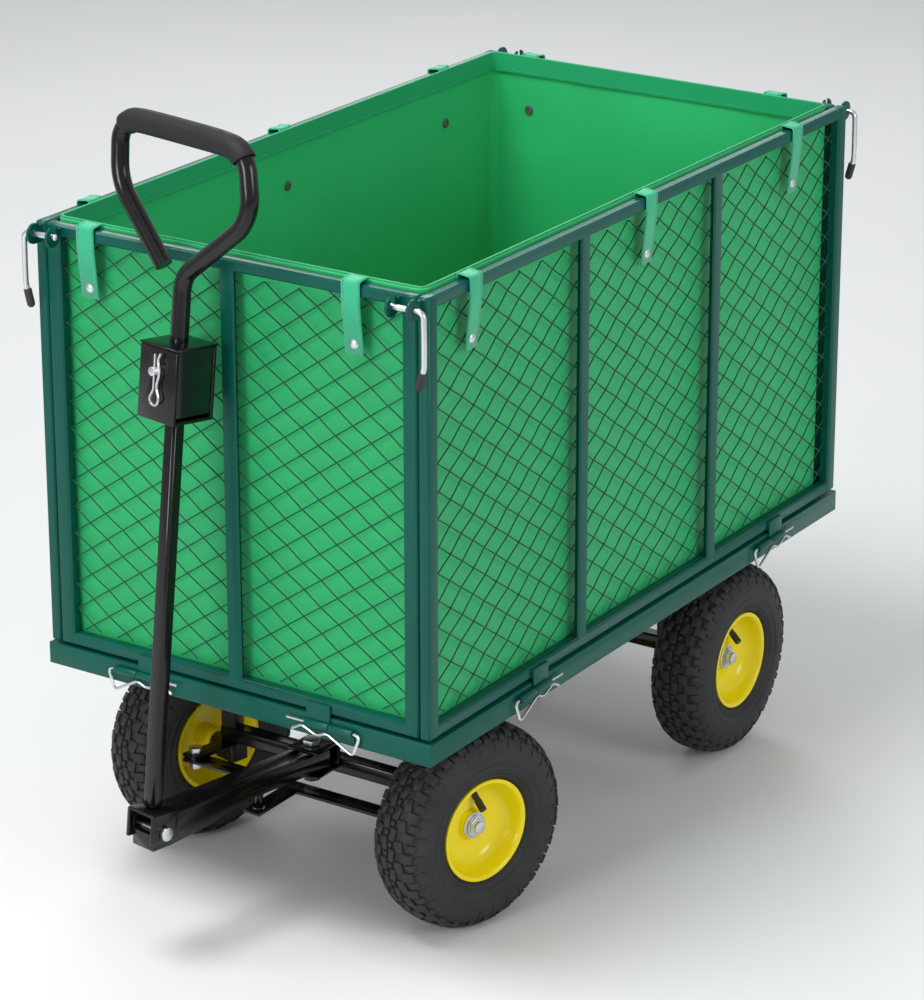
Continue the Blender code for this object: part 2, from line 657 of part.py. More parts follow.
# ---------------------------------------------------------------- tongue
def build_tongue(cart):
    """Pivot bracket on the front beam, kingbolt, tongue and the fork bolt."""
    play = 0.0022
    web_x = AXLE_X + BEAM_SIZE / 2 + GAP
    top = TONGUE_TOP + play
    bottom = TONGUE_TOP - TONGUE_HEIGHT - play
    end_x = KINGBOLT_X + 0.020
    outline = [
        (web_x, bottom - 0.004), (end_x, bottom - 0.004), (end_x, bottom), (web_x + 0.004, bottom),
        (web_x + 0.004, top), (end_x, top), (end_x, top + 0.004), (web_x, top + 0.004),
    ]
    bolt_low, bolt_high = bottom - 0.016, top + 0.004
    hole = rod(KINGBOLT_RADIUS + RUN, (KINGBOLT_X, 0, bolt_low), (KINGBOLT_X, 0, bolt_high + 0.01), 16)
    node("pivot_bracket", combined(prism(outline, "Y", -0.022, 0.022), cuts=[hole]), "black_steel", cart)
    shank = rod(KINGBOLT_RADIUS, (KINGBOLT_X, 0, bolt_low), (KINGBOLT_X, 0, bolt_high + 0.004), 16)
    head = rod(0.0115, (KINGBOLT_X, 0, bolt_high + GAP), (KINGBOLT_X, 0, bolt_high + 0.008), 6)
    nut = rod(0.0110, (KINGBOLT_X, 0, bolt_low + 0.002), (KINGBOLT_X, 0, bottom - 0.004 - GAP), 6)
    node("kingbolt", combined(head, adds=[shank, nut]), "zinc", cart)

    yaw = empty("steer_axis", cart, (KINGBOLT_X, 0, TONGUE_MID), (0, 0, STEER_REST))
    rise = empty("tongue_rise", yaw, rotation=(0, -TONGUE_RISE, 0))
    half_w, half_h = TONGUE_WIDTH / 2, TONGUE_HEIGHT / 2
    nose = FORK_REACH + FORK_NOSE
    chamfer = 0.006
    side_view = [
        (-TONGUE_BACK, -half_h), (nose - GUSSET_LENGTH, -half_h), (nose - 0.110, -half_h - 0.008),
        (nose - 0.065, -half_h - 0.014), (nose - 0.030, -half_h - GUSSET_DEPTH),
        (nose, -half_h - GUSSET_DEPTH), (nose, half_h - chamfer), (nose - chamfer, half_h),
        (-TONGUE_BACK, half_h),
    ]
    body = prism(side_view, "Y", -half_w, half_w)
    wall = TONGUE_WALL
    pocket_low = (nose - 0.080, -half_w + wall, -half_h + wall)
    pocket = block(pocket_low, (nose + 0.01, half_w - wall, half_h - wall))
    king_hole = rod(KINGBOLT_RADIUS + 0.0013, (0, 0, -0.05), (0, 0, 0.05), 16)
    side = half_w + 0.01
    px, pz = PIVOT_LOCAL.x, PIVOT_LOCAL.z
    fork_hole = rod(FORK_BOLT_RADIUS + GAP, (px, -side, pz), (px, side, pz), 12)
    pin_low = TIE_TOP - ARM_WALL - 0.004 - TONGUE_MID
    drive = rod(DRIVE_PIN_RADIUS, (DRIVE_CRANK, 0, pin_low), (DRIVE_CRANK, 0, -half_h + 0.002), 12)
    node("tongue", combined(body, adds=[drive], cuts=[pocket, king_hole, fork_hole]), "black_steel", rise)

    foot_half = half_w + FOOT_SIDE_CLEAR + FOOT_WALL
    bolt_end = foot_half + 0.009
    shank = rod(FORK_BOLT_RADIUS, (px, -bolt_end, pz), (px, bolt_end - 0.004, pz), 12)
    head = rod(0.0085, (px, foot_half + RUN, pz), (px, foot_half + 0.006, pz), 12)
    nut = rod(0.0080, (px, -bolt_end + 0.002, pz), (px, -foot_half - RUN, pz), 6)
    node("fork_bolt", combined(shank, adds=[head, nut]), "zinc", rise)
    return rise


# ---------------------------------------------------------------- handle
def build_handle(rise):
    """Everything that swings on the fork bolt, in its own frame: +Z along the pole."""
    lean = -(HANDLE_LEAN - TONGUE_RISE)
    axis = empty("handle_axis", rise, PIVOT_LOCAL, (0, lean, 0))
    inner = TONGUE_WIDTH / 2 + FOOT_SIDE_CLEAR
    outer = inner + FOOT_WALL
    length = FOOT_HALF_LENGTH
    section = [
        (-outer, -FOOT_SKIRT), (-inner, -FOOT_SKIRT), (-inner, FOOT_TOP_IN), (inner, FOOT_TOP_IN),
        (inner, -FOOT_SKIRT), (outer, -FOOT_SKIRT), (outer, FOOT_TOP - 0.003),
        (outer - 0.001, FOOT_TOP - 0.001), (outer - 0.003, FOOT_TOP), (-outer + 0.003, FOOT_TOP),
        (-outer + 0.001, FOOT_TOP - 0.001),
        (-outer, FOOT_TOP - 0.003),
    ]
    hole = rod(FORK_BOLT_RADIUS + GAP, (0, -0.05, 0), (0, 0.05, 0), 12)
    node("pole_foot", combined(prism(section, "X", -length, length), cuts=[hole]), "black_steel", axis)

    half = POLE_SIZE / 2
    pole = block((-half, -half, FOOT_TOP + GAP), (half, half, POLE_TOP), 0.003)
    node("pole", pole, "black_steel", axis)

    size = CLEVIS_SIZE / 2
    width = size - 0.001
    base = POLE_TOP + GAP
    section = [
        (-size, base), (size, base), (size, CLEVIS_TOP), (size - CLEVIS_WALL, CLEVIS_TOP),
        (size - CLEVIS_WALL, CLEVIS_FLOOR), (-size + CLEVIS_WALL, CLEVIS_FLOOR),
        (-size + CLEVIS_WALL, CLEVIS_TOP), (-size, CLEVIS_TOP),
    ]
    pin_hole = rod(PIN_RADIUS + RUN, (-0.06, 0, PIN_Z), (0.06, 0, PIN_Z), 12)
    node("tow_clevis", combined(prism(section, "Y", -width, width), cuts=[pin_hole]), "black_steel", axis)

    box_x = size - CLEVIS_WALL - RUN
    box_y = width - 0.001
    low = CLEVIS_FLOOR + 0.004
    shell = block((-box_x, -box_y, low), (box_x, box_y, CLEVIS_TOP + GAP + 0.001))
    lip_x, lip_y = size + CAP_LIP, width + CAP_LIP
    cap = block((-lip_x, -lip_y, CLEVIS_TOP + GAP), (lip_x, lip_y, CAP_TOP), 0.001)
    in_x, in_y = box_x - BOX_WALL, box_y - BOX_WALL
    pocket = block((-in_x, -in_y, low - 0.01), (in_x, in_y, CLEVIS_TOP))
    pin_hole = rod(PIN_RADIUS + RUN, (-0.06, 0, PIN_Z), (0.06, 0, PIN_Z), 12)
    node("handle_box", combined(cap, adds=[shell], cuts=[pocket, pin_hole]), "black_steel", axis)

    corners = [
        (0, 0, CAP_TOP + GAP), (0, 0, 0.663), (0, 0.104, LOOP_TOP - 0.080), (0, 0.088, LOOP_TOP - 0.002),
        (0, -0.116, LOOP_TOP), (0, -0.112, LOOP_TOP - 0.076), (0, -0.032, LOOP_TOP - 0.158),
    ]
    path = rounded(corners, (0.036, 0.052, 0.034, 0.030, 0.062))
    node("handle_loop", swept(path, LOOP_RADIUS, 10), "black_steel", axis, smooth=True)
    build_grip(axis, path)

    clip_x = size + CAP_LIP + 0.0035
    pin_end = clip_x + 0.005
    pin = rod(PIN_RADIUS, (-size - 0.004, 0, PIN_Z), (pin_end, 0, PIN_Z), 12)
    head = rod(0.0085, (-size - 0.005, 0, PIN_Z), (-size - RUN, 0, PIN_Z), 12)
    cross = rod(0.0021, (clip_x, 0, PIN_Z - 0.02), (clip_x, 0, PIN_Z + 0.02), 8)
    node("clevis_pin", combined(pin, adds=[head], cuts=[cross]), "zinc", axis, smooth=True)
    build_clip(axis, clip_x)


def build_grip(axis, path):
    """Foam sleeve round the top of the loop, from its right bend to its left one."""
    inner, outer, sides = LOOP_RADIUS + GRIP_CLEAR, GRIP_RADIUS, 12
    bm = bmesh.new()
    rings = []
    for i, spot in enumerate(path):
        if spot.z < LOOP_TOP - 0.022 or spot.y < GRIP_RIGHT:
            continue
        ahead = (path[i + 1] - path[i - 1]).normalized()
        across = Vector((1, 0, 0))
        up = ahead.cross(across)
        pair = []
        for radius in (outer, inner):
            ring = []
            for k in range(sides):
                angle = 2 * math.pi * k / sides
                scale = radius / math.cos(math.pi / sides) if radius == inner else radius
                ring.append(bm.verts.new(spot + scale * (math.cos(angle) * across + math.sin(angle) * up)))
            pair.append(ring)
        rings.append(pair)
    for here, there in zip(rings, rings[1:]):
        for k in range(sides):
            j = (k + 1) % sides
            bm.faces.new((here[0][k], here[0][j], there[0][j], there[0][k]))
            bm.faces.new((here[1][j], here[1][k], there[1][k], there[1][j]))
    for pair, flip in ((rings[0], False), (rings[-1], True)):
        for k in range(sides):
            j = (k + 1) % sides
            face = (pair[0][j], pair[0][k], pair[1][k], pair[1][j])
            bm.faces.new(face[::-1] if flip else face)
    node("handle_grip", bm, "foam", axis, smooth=True)


def build_clip(axis, x):
    """Small hairpin clip through the end of the clevis pin."""
    wire = 0.0015
    side = PIN_RADIUS + wire + 0.0006
    points = [
        (x, 0, PIN_Z + 0.020), (x, 0, PIN_Z - 0.022), (x, -0.007, PIN_Z - 0.034), (x, 0.001, PIN_Z - 0.043),
        (x, 0.010, PIN_Z - 0.034), (x, 0.0035, PIN_Z - 0.018), (x, side, PIN_Z - 0.004),
        (x, side - 0.002, PIN_Z + 0.008), (x, 0.0045, PIN_Z + 0.013), (x, 0.009, PIN_Z + 0.022),
    ]
    path = rounded(points, (0.008, 0.006, 0.006, 0.008, 0.010, 0.010, 0.006, 0.006), math.radians(30))
    node("r_clip", swept(path, wire, 6), "zinc", axis, smooth=True)


# ---------------------------------------------------------------- panels, mesh, latches
def ear(x, low, high, base_z, open_top):
    """A latch ear standing off a panel face at |x|: a round plate with a hole or an open cradle."""
    sign = 1 if x > 0 else -1
    face = sign * (PANEL_X - 0.004)
    centre = (x, LATCH_Z)
    base_low, base_high = base_z
    lo_x, hi_x = sorted((face, x))
    plate = block((lo_x, low, base_low), (hi_x, high, base_high))
    disc = rod(LATCH_EAR_RADIUS, (x, low, LATCH_Z), (x, high, LATCH_Z), 20)
    bore = LATCH_ROD_RADIUS + LATCH_CLEAR
    cuts = [rod(bore, (centre[0], low - 0.01, centre[1]), (centre[0], high + 0.01, centre[1]), 12)]
    if open_top:
        slot_low = (x - bore, low - 0.01, LATCH_Z)
        cuts.append(block(slot_low, (x + bore, high + 0.01, LATCH_Z + 0.03)))
    return combined(plate, adds=[disc], cuts=cuts)


def frame_pieces(half, bars):
    """Posts, rails and bars of a panel, centred on X = 0, outer face at Y = 0."""
    z0, z1 = PANEL_BOTTOM, PANEL_TOP
    deep = -PANEL_DEPTH
    skin = 0.0002
    pieces = [
        block((-half, deep, z0), (-half + POST_WIDTH, 0, z1), TUBE_BEVEL),
        block((half - POST_WIDTH, deep, z0), (half, 0, z1), TUBE_BEVEL),
        block((-half + 0.002, deep + skin, z1 - RAIL_HEIGHT), (half - 0.002, -skin, z1 - skin), TUBE_BEVEL),
        block((-half + 0.002, deep + skin, z0 + skin), (half - 0.002, -skin, z0 + RAIL_HEIGHT), TUBE_BEVEL),
    ]
    clear = 2 * half - 2 * POST_WIDTH
    for k in range(bars):
        x = -half + POST_WIDTH + clear * (k + 1) / (bars + 1)
        low = (x - POST_WIDTH / 2, -BAR_DEPTH, z0 + RAIL_HEIGHT / 2)
        pieces.append(block(low, (x + POST_WIDTH / 2, -0.0006, z1 - RAIL_HEIGHT / 2), 0.002))
    return pieces


def sheet_piece(half):
    """The welded mesh, as a thin sheet behind the bars."""
    inset = POST_WIDTH + GAP
    high = -BAR_DEPTH - GAP
    low = (-half + inset, high - MESH_SHEET, PANEL_BOTTOM + RAIL_HEIGHT + GAP)
    return block(low, (half - inset, high, PANEL_TOP - RAIL_HEIGHT - GAP))


def build_panels(cart):
    plans = {
        "left": (PANEL_X, SIDE_BARS, (0, PANEL_Y, 0), 0),
        "right": (PANEL_X, SIDE_BARS, (0, -PANEL_Y, 0), math.pi),
        "front": (END_HALF, END_BARS, (PANEL_X, 0, 0), -math.pi / 2),
        "rear": (END_HALF, END_BARS, (-PANEL_X, 0, 0), math.pi / 2),
    }
    rail_z = (PANEL_TOP - RAIL_HEIGHT + 0.0035, PANEL_TOP - 0.0035)
    post_z = (LATCH_Z - LATCH_EAR_RADIUS, LATCH_Z + LATCH_EAR_RADIUS - 0.004)
    ear_in = END_HALF - POST_WIDTH - 0.001
    ear_out = SIDE_INNER_Y + 0.003
    for side, (half, bars, spot, turn) in plans.items():
        place = Matrix.Translation(spot) @ Matrix.Rotation(turn, 4, "Z")
        pieces = [moved(piece, place) for piece in frame_pieces(half, bars)]
        adds = pieces[1:]
        for owner, _, pin, facing, eye in hinge_frames():
            if owner == side:
                adds.append(hinge_knuckle(pin, facing, eye, "panel"))
        if side in ("left", "right"):
            sign = 1 if side == "left" else -1
            low, high = sorted((sign * ear_out, sign * (ear_out + LATCH_EAR_WALL)))
            for x in (LATCH_X, -LATCH_X):
                adds.append(ear(x, low, high, post_z, False))
            origin = Vector((0, sign * (HALF_W + HINGE_OUT), HINGE_Z))
        else:
            x = LATCH_X if side == "front" else -LATCH_X
            for sign in (1, -1):
                low, high = sorted((sign * ear_in, sign * (ear_in - LATCH_EAR_WALL)))
                adds.append(ear(x, low, high, rail_z, True))
            origin = Vector((0, 0, 0))
        frame = moved(combined(pieces[0], adds=adds), Matrix.Translation(-origin))
        axis = empty(f"axis_{side}", cart, origin)
        node(f"panel_{side}", frame, "green_frame", axis)
        sheet = moved(sheet_piece(half), Matrix.Translation(-origin) @ place)
        node(f"mesh_{side}", sheet, "green_mesh", axis)


def build_latches(cart):
    """L-shaped rods: the tip lies in the end panel's cradle, the lever hangs outside."""
    tip = HALF_W - LATCH_REACH
    bend = HALF_W + 0.002
    for side, sign in (("left", 1), ("right", -1)):
        for where, x in (("front", LATCH_X), ("rear", -LATCH_X)):
            points = [
                (0, sign * tip, 0), (0, sign * bend, 0),
                (0, sign * (bend + 0.001), -LATCH_LEVER * 0.72), (0, sign * (bend - 0.006), -LATCH_LEVER),
            ]
            path = rounded(points, (0.007, 0.020))
            pivot = empty(f"latch_axis_{side}_{where}", cart, (x, 0, LATCH_Z))
            node(f"latch_{side}_{where}", swept(path, LATCH_ROD_RADIUS, 8), "zinc", pivot, smooth=True)


def build_liner(cart, floor_top):
    """Open-topped fabric box that lines the panels."""
    out_x = PANEL_X - PANEL_DEPTH - LINER_CLEAR
    out_y = SIDE_INNER_Y - LINER_CLEAR
    low = floor_top + GAP
    bm = bmesh.new()
    levels = (
        (0, low), (0, LINER_TOP), (LINER_WALL, LINER_TOP), (LINER_WALL, low + LINER_WALL),
    )
    rings = []
    for inset, z in levels:
        ring = []
        for sx, sy in ((1, 1), (-1, 1), (-1, -1), (1, -1)):
            ring.append(bm.verts.new((sx * (out_x - inset), sy * (out_y - inset), z)))
        rings.append(ring)
    for here, there in zip(rings, rings[1:]):
        for k in range(4):
            j = (k + 1) % 4
            bm.faces.new((here[k], here[j], there[j], there[k]))
    bm.faces.new(rings[0][::-1])
    bm.faces.new(rings[-1])
    node("liner", bm, "liner", cart)


# ---------------------------------------------------------------- assembly
def stand_on_origin(cart):
    """Shift the whole cart so that the origin is under the middle of its box."""
    bpy.context.view_layer.update()
    spots = []
    for item in bpy.context.scene.objects:
        if item.type == "MESH":
            spots.extend(item.matrix_world @ vertex.co for vertex in item.data.vertices)
    low = [min(spot[i] for spot in spots) for i in range(3)]
    high = [max(spot[i] for spot in spots) for i in range(3)]
    cart.location = (-(low[0] + high[0]) / 2, -(low[1] + high[1]) / 2, -low[2])
    bpy.context.view_layer.update()


def build():
    clear_scene()
    cart = empty("cart")
    floor_top = build_bed(cart)
    build_legs(cart)
    build_axles(cart)
    pins = build_steering(cart)
    build_wheels(cart, pins)
    rise = build_tongue(cart)
    build_handle(rise)
    build_panels(cart)
    build_latches(cart)
    build_liner(cart, floor_top)
    stand_on_origin(cart)
    return cart


CART = build()
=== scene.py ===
# %% [markdown]
# # A mesh-sided garden cart
#
# The engineering model already fixes every size, joint and moving body. This script gives that frame
# its looks: a camera and light, a finish for every material, and the pieces whose real shape is too
# fine for the engineering model, such as the tyre treads, the woven wire and the cloth.

# %% Load the frame and note its box
import json
import math

import bmesh
import bpy
from mathutils import Matrix, Vector, noise


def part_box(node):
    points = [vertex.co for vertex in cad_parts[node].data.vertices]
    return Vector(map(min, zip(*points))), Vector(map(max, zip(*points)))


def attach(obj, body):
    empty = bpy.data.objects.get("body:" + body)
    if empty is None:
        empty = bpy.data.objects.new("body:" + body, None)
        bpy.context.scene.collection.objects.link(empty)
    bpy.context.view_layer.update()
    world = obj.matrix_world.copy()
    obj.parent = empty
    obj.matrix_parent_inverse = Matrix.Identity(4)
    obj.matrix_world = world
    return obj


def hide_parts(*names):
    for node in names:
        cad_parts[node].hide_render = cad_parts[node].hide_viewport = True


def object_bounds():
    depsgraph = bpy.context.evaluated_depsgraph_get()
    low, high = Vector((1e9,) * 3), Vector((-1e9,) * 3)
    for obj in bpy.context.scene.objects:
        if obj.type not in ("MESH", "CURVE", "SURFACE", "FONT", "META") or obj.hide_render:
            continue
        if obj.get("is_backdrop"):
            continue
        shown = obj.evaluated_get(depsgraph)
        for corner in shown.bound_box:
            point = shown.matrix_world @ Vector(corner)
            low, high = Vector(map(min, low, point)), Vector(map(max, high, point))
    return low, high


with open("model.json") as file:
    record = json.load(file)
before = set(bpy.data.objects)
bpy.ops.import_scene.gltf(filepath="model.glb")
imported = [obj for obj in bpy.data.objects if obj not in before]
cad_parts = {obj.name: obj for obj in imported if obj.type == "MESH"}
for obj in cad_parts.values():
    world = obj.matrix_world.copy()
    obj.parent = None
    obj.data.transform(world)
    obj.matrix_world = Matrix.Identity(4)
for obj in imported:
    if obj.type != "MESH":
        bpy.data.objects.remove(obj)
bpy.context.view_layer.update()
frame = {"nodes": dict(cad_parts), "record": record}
record = frame["record"]
joints = {joint["name"]: joint for joint in record["behaviour"]["joints"]}
band_low, band_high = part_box("bed_frame")
bed_middle = (band_low + band_high) / 2

# %% [markdown]
# ## Camera, floor and light
#
# A long lens looks down on the front left corner by 19 degrees, and a small lens shift sets where the
# cart stands in the frame. The light is a pale studio: a bright sky all round and four soft lamps, the
# strongest of them overhead and weaker ones in front, on the long side and behind.

# %% Camera
camera_data = bpy.data.cameras.new("camera")
camera = bpy.data.objects.new("camera", camera_data)
bpy.context.scene.collection.objects.link(camera)
camera_data.lens = 134.47
camera_data.sensor_width = 36
camera_data.shift_x = -0.0109
camera_data.shift_y = -0.105
turn, lift = math.radians(123.154), math.radians(19.309)
back = Vector((math.sin(turn) * math.cos(lift), -math.cos(turn) * math.cos(lift), math.sin(lift)))
camera.location = Vector((bed_middle.x + 3.7059, 2.4363, 2.0944))
camera.rotation_mode = "QUATERNION"
camera.rotation_quaternion = (-back).to_track_quat("-Z", "Y")
camera_data.clip_start, camera_data.clip_end = 0.1, 60
bpy.context.scene.camera = camera
print("camera at", [round(v, 3) for v in camera.location])


# %% Lamps and sky
def lamp(name, place, aim, size, power):
    data = bpy.data.lights.new(name, "AREA")
    data.shape, data.size, data.energy = "DISK", size, power
    made = bpy.data.objects.new(name, data)
    bpy.context.scene.collection.objects.link(made)
    made.location = place
    made.rotation_mode = "QUATERNION"
    made.rotation_quaternion = (Vector(aim) - Vector(place)).to_track_quat("-Z", "Y")


lamp("key", (1.4, -0.6, 3.9), (0, 0, 0.4), 1.8, 105)
lamp("front", (4.2, -0.6, 1.6), (0, 0, 0.5), 1.6, 52)
lamp("side", (0.6, 4.2, 2.2), (0, 0, 0.5), 1.8, 50)
lamp("behind", (-3.2, -2.2, 3.0), (0, 0, 0.6), 1.8, 40)

sky = bpy.data.worlds.new("studio")
bpy.context.scene.world = sky
sky.use_nodes = True
background = sky.node_tree.nodes["Background"]
background.inputs["Color"].default_value = (0.93, 0.96, 1.0, 1)
background.inputs["Strength"].default_value = 0.55
bpy.context.scene.view_settings.view_transform = "Standard"
print("lamps", len(bpy.data.lights))


# %% [markdown]
# ## Writing materials as sums
#
# A finish is easier to read as arithmetic than as a node drawing. `Signal` wraps a socket, and each
# operator on it adds one Math node. `Finish.node` adds any other node: its settings first, because
# they can change its sockets, and then a value or a link for each socket.

# %% Signal
class Signal:
    """A number, colour or direction that flows out of a node."""

    def __init__(self, finish, socket):
        self.finish = finish
        self.socket = socket

    def maths(self, operation, first, second):
        return self.finish.node("ShaderNodeMath", {"operation": operation}, {0: first, 1: second})

    def __add__(self, other):
        return self.maths("ADD", self, other)

    __radd__ = __add__

    def __sub__(self, other):
        return self.maths("SUBTRACT", self, other)

    def __rsub__(self, other):
        return self.maths("SUBTRACT", other, self)

    def __mul__(self, other):
        return self.maths("MULTIPLY", self, other)

    __rmul__ = __mul__


# %% Finish
class Finish:
    """One material, built round a Principled shader."""

    def __init__(self, name, roughness, metallic=0.0, coat=0.0, sheen=0.0, gleam=0.5):
        self.material = bpy.data.materials.new(name)
        self.material.use_nodes = True
        self.tree = self.material.node_tree
        self.shader = self.tree.nodes["Principled BSDF"]
        self.shader.inputs["Roughness"].default_value = roughness
        self.shader.inputs["Metallic"].default_value = metallic
        self.shader.inputs["Coat Weight"].default_value = coat
        self.shader.inputs["Coat Roughness"].default_value = 0.12
        self.shader.inputs["Sheen Weight"].default_value = sheen
        self.shader.inputs["Specular IOR Level"].default_value = gleam

    def node(self, kind, settings=None, sockets=None, output=0):
        made = self.tree.nodes.new(kind)
        for key, value in (settings or {}).items():
            if key == "stops":
                ramp = made.color_ramp
                while len(ramp.elements) < len(value):
                    ramp.elements.new(0.5)
                for element, (place, colour) in zip(ramp.elements, value):
                    element.position, element.color = place, colour
            else:
                setattr(made, key, value)
        for key, value in (sockets or {}).items():
            self.plug(made.inputs[key], value)
        return Signal(self, made.outputs[output])

    def plug(self, socket, value):
        if isinstance(value, Signal):
            self.tree.links.new(value.socket, socket)
        else:
            socket.default_value = value

    def place(self):
        return self.node("ShaderNodeTexCoord", output="Object")

    def cloudy(self, size, detail=3.0):
        """Noise whose features are about `size` metres across."""
        sockets = {"Vector": self.place(), "Scale": 1 / size, "Detail": detail}
        return self.node("ShaderNodeTexNoise", None, sockets)

    def blend_colours(self, amount, first, second):
        """A Mix node has one set of sockets for each kind of data: 6, 7 and output 2 are the colours."""
        sockets = {0: amount, 6: first, 7: second}
        return self.node("ShaderNodeMix", {"data_type": "RGBA"}, sockets, output=2)

    def colour(self, value):
        self.plug(self.shader.inputs["Base Color"], value)

    def rough(self, value):
        self.plug(self.shader.inputs["Roughness"], value)

    def bump(self, height, depth, strength):
        """Relief whose full height is `depth` metres."""
        sockets = {"Height": height, "Distance": depth, "Strength": strength}
        normal = self.node("ShaderNodeBump", None, sockets)
        self.plug(self.shader.inputs["Normal"], normal)


def tint(colour, factor):
    return (*[min(1.0, channel * factor) for channel in colour[:3]], 1)


# %% [markdown]
# ## Painted steel
#
# The tubes are powder coated. Up close that is a smooth, slightly dimpled skin. Slow noise shifts the
# colour, fine noise dimples the surface, and a middle scale breaks the gloss, so that long highlights
# aren't perfectly even.

# %% Painted finishes
def powder_coat(name, colour, roughness, coat=0.0, spread=0.12, gleam=0.3):
    paint = Finish(name, roughness, coat=coat, gleam=gleam)
    slow = paint.cloudy(0.09)
    paint.colour(paint.blend_colours(slow, tint(colour, 1 - spread), tint(colour, 1 + spread)))
    paint.rough(roughness + 0.16 * (paint.cloudy(0.012) - 0.5))
    paint.bump(paint.cloudy(0.0028, 2.0), 0.00012, 0.6)
    return paint.material


GREEN = (0.001, 0.082, 0.060)
frame_paint = powder_coat("frame_paint", GREEN, 0.32, coat=0.07, gleam=0.18)
wire_paint = powder_coat("wire_paint", (0.002, 0.070, 0.036), 0.36, coat=0.08)
black_paint = powder_coat("black_paint", (0.0042, 0.0036, 0.0038), 0.20, coat=0.2, spread=0.25)
leg_paint = powder_coat("leg_paint", (0.016, 0.017, 0.018), 0.36, coat=0.1, spread=0.2)
rim_paint = powder_coat("rim_paint", (0.86, 0.70, 0.004), 0.24, coat=0.25, spread=0.04)
print("painted finishes", len(bpy.data.materials))


# %% [markdown]
# ## Zinc, rubber and foam
#
# Zinc plate is metallic with a patchy gloss. Tyre rubber is matt, with a fine grain and a dusty grey
# bloom. The hand grip is closed-cell foam, which has tiny pits.

# %% Metal and rubber finishes
def zinc_plate():
    zinc = Finish("zinc_plate", 0.26, metallic=1.0)
    zinc.colour(zinc.blend_colours(zinc.cloudy(0.015), (0.58, 0.59, 0.62, 1), (0.80, 0.81, 0.83, 1)))
    zinc.rough(0.20 + 0.22 * zinc.cloudy(0.004))
    zinc.bump(zinc.cloudy(0.0012), 0.00004, 0.5)
    return zinc.material


def rubber_finish(name, dark, pale, roughness, grain, depth):
    rubber = Finish(name, roughness, gleam=0.35)
    bloom = rubber.cloudy(0.035, 5.0)
    rubber.colour(rubber.blend_colours(bloom, dark, pale))
    rubber.rough(roughness + 0.2 * (rubber.cloudy(0.01) - 0.5))
    rubber.bump(rubber.cloudy(grain, 4.0), depth, 0.8)
    return rubber.material


zinc = zinc_plate()
tyre_rubber = rubber_finish(
    "tyre_rubber", (0.014, 0.014, 0.015, 1), (0.034, 0.034, 0.035, 1), 0.62, 0.0016, 0.00018
)
grip_rubber = rubber_finish(
    "grip_rubber", (0.022, 0.022, 0.024, 1), (0.034, 0.034, 0.036, 1), 0.55, 0.0009, 0.00008
)
grip_foam = rubber_finish(
    "grip_foam", (0.007, 0.007, 0.008, 1), (0.014, 0.014, 0.015, 1), 0.62, 0.0007, 0.00022
)


# %% [markdown]
# ## Liner cloth and webbing
#
# The liner is woven from flat plastic tapes and coated. Its weave is a product of two sine waves, one
# up the wall and one along it. X + Y runs along all four walls, since one of the two stays constant
# on each. Broad noise paints soft shade and light into the cloth's colour, as folds of slack cloth would
# catch it.

# %% Woven finishes
def woven(name, colour, tape, spread, roughness, sheen, depth):
    cloth = Finish(name, roughness, sheen=sheen, gleam=0.3)
    separate = cloth.node("ShaderNodeSeparateXYZ", None, {0: cloth.place()}).socket.node
    x, y, z = (Signal(cloth, separate.outputs[i]) for i in range(3))
    along = cloth.node("ShaderNodeMath", {"operation": "SINE"}, {0: (x + y) * (math.tau / tape)})
    up = cloth.node("ShaderNodeMath", {"operation": "SINE"}, {0: z * (math.tau / tape)})
    weave = along * up * 0.5 + 0.5
    # painted shade and light: broad noise darkens and lightens the colour, as folds in slack cloth would
    slack = cloth.cloudy(0.16, 2.0)
    shade = cloth.blend_colours(slack, tint(colour, 1 - spread), tint(colour, 1 + spread))
    shade = cloth.blend_colours(weave * 0.10, shade, tint(colour, 0.55))
    cloth.colour(shade)
    cloth.bump(weave + 0.6 * cloth.cloudy(0.02), depth, 0.5)
    return cloth.material


LINER_GREEN = (0.016, 0.440, 0.140)
liner_cloth = woven("liner_cloth", LINER_GREEN, 0.0030, 0.10, 0.50, 0.15, 0.00022)
hem_cloth = woven("hem_cloth", (0.004, 0.330, 0.120), 0.0030, 0.06, 0.48, 0.15, 0.00022)
webbing = woven("webbing", (0.024, 0.440, 0.225), 0.0016, 0.05, 0.46, 0.2, 0.00025)
thread_finish = woven("thread", (0.160, 0.640, 0.420), 0.0016, 0.05, 0.50, 0.1, 0.00010)
dark_steel = rubber_finish(
    "dark_steel", (0.050, 0.055, 0.052, 1), (0.110, 0.118, 0.112, 1), 0.38, 0.0010, 0.00004
)
print("materials", len(bpy.data.materials))


# %% [markdown]
# ## Keeping a node and making a piece
#
# `keep` gives a finish to a node of the engineering model and rounds its edges: Weld joins its loose
# triangles, and Bevel rolls over the sharp edges. `piece` turns a bmesh into a finished object that
# rides on its body.

# %% Keep and piece
def keep(node, material, edge=0.0008, segments=2):
    item = frame["nodes"][node]
    item.data.materials.clear()
    item.data.materials.append(material)
    item.data.shade_smooth()
    item.data.set_sharp_from_angle(angle=math.radians(32))
    if edge:
        weld = item.modifiers.new("weld", "WELD")
        weld.merge_threshold = 0.00002
        bevel = item.modifiers.new("edges", "BEVEL")
        bevel.width, bevel.segments = edge, segments
        bevel.limit_method, bevel.angle_limit = "ANGLE", math.radians(40)
        bevel.use_clamp_overlap = True
        bevel.harden_normals = False
    return item


def piece(name, bm, material, body, sharp=35):
    bmesh.ops.remove_doubles(bm, verts=bm.verts, dist=0.000001)
    bmesh.ops.recalc_face_normals(bm, faces=bm.faces)
    mesh = bpy.data.meshes.new(name)
    bm.to_mesh(mesh)
    bm.free()
    mesh.shade_smooth()
    mesh.set_sharp_from_angle(angle=math.radians(sharp))
    mesh.materials.append(material)
    made = bpy.data.objects.new(name, mesh)
    bpy.context.scene.collection.objects.link(made)
    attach(made, body)
    return made


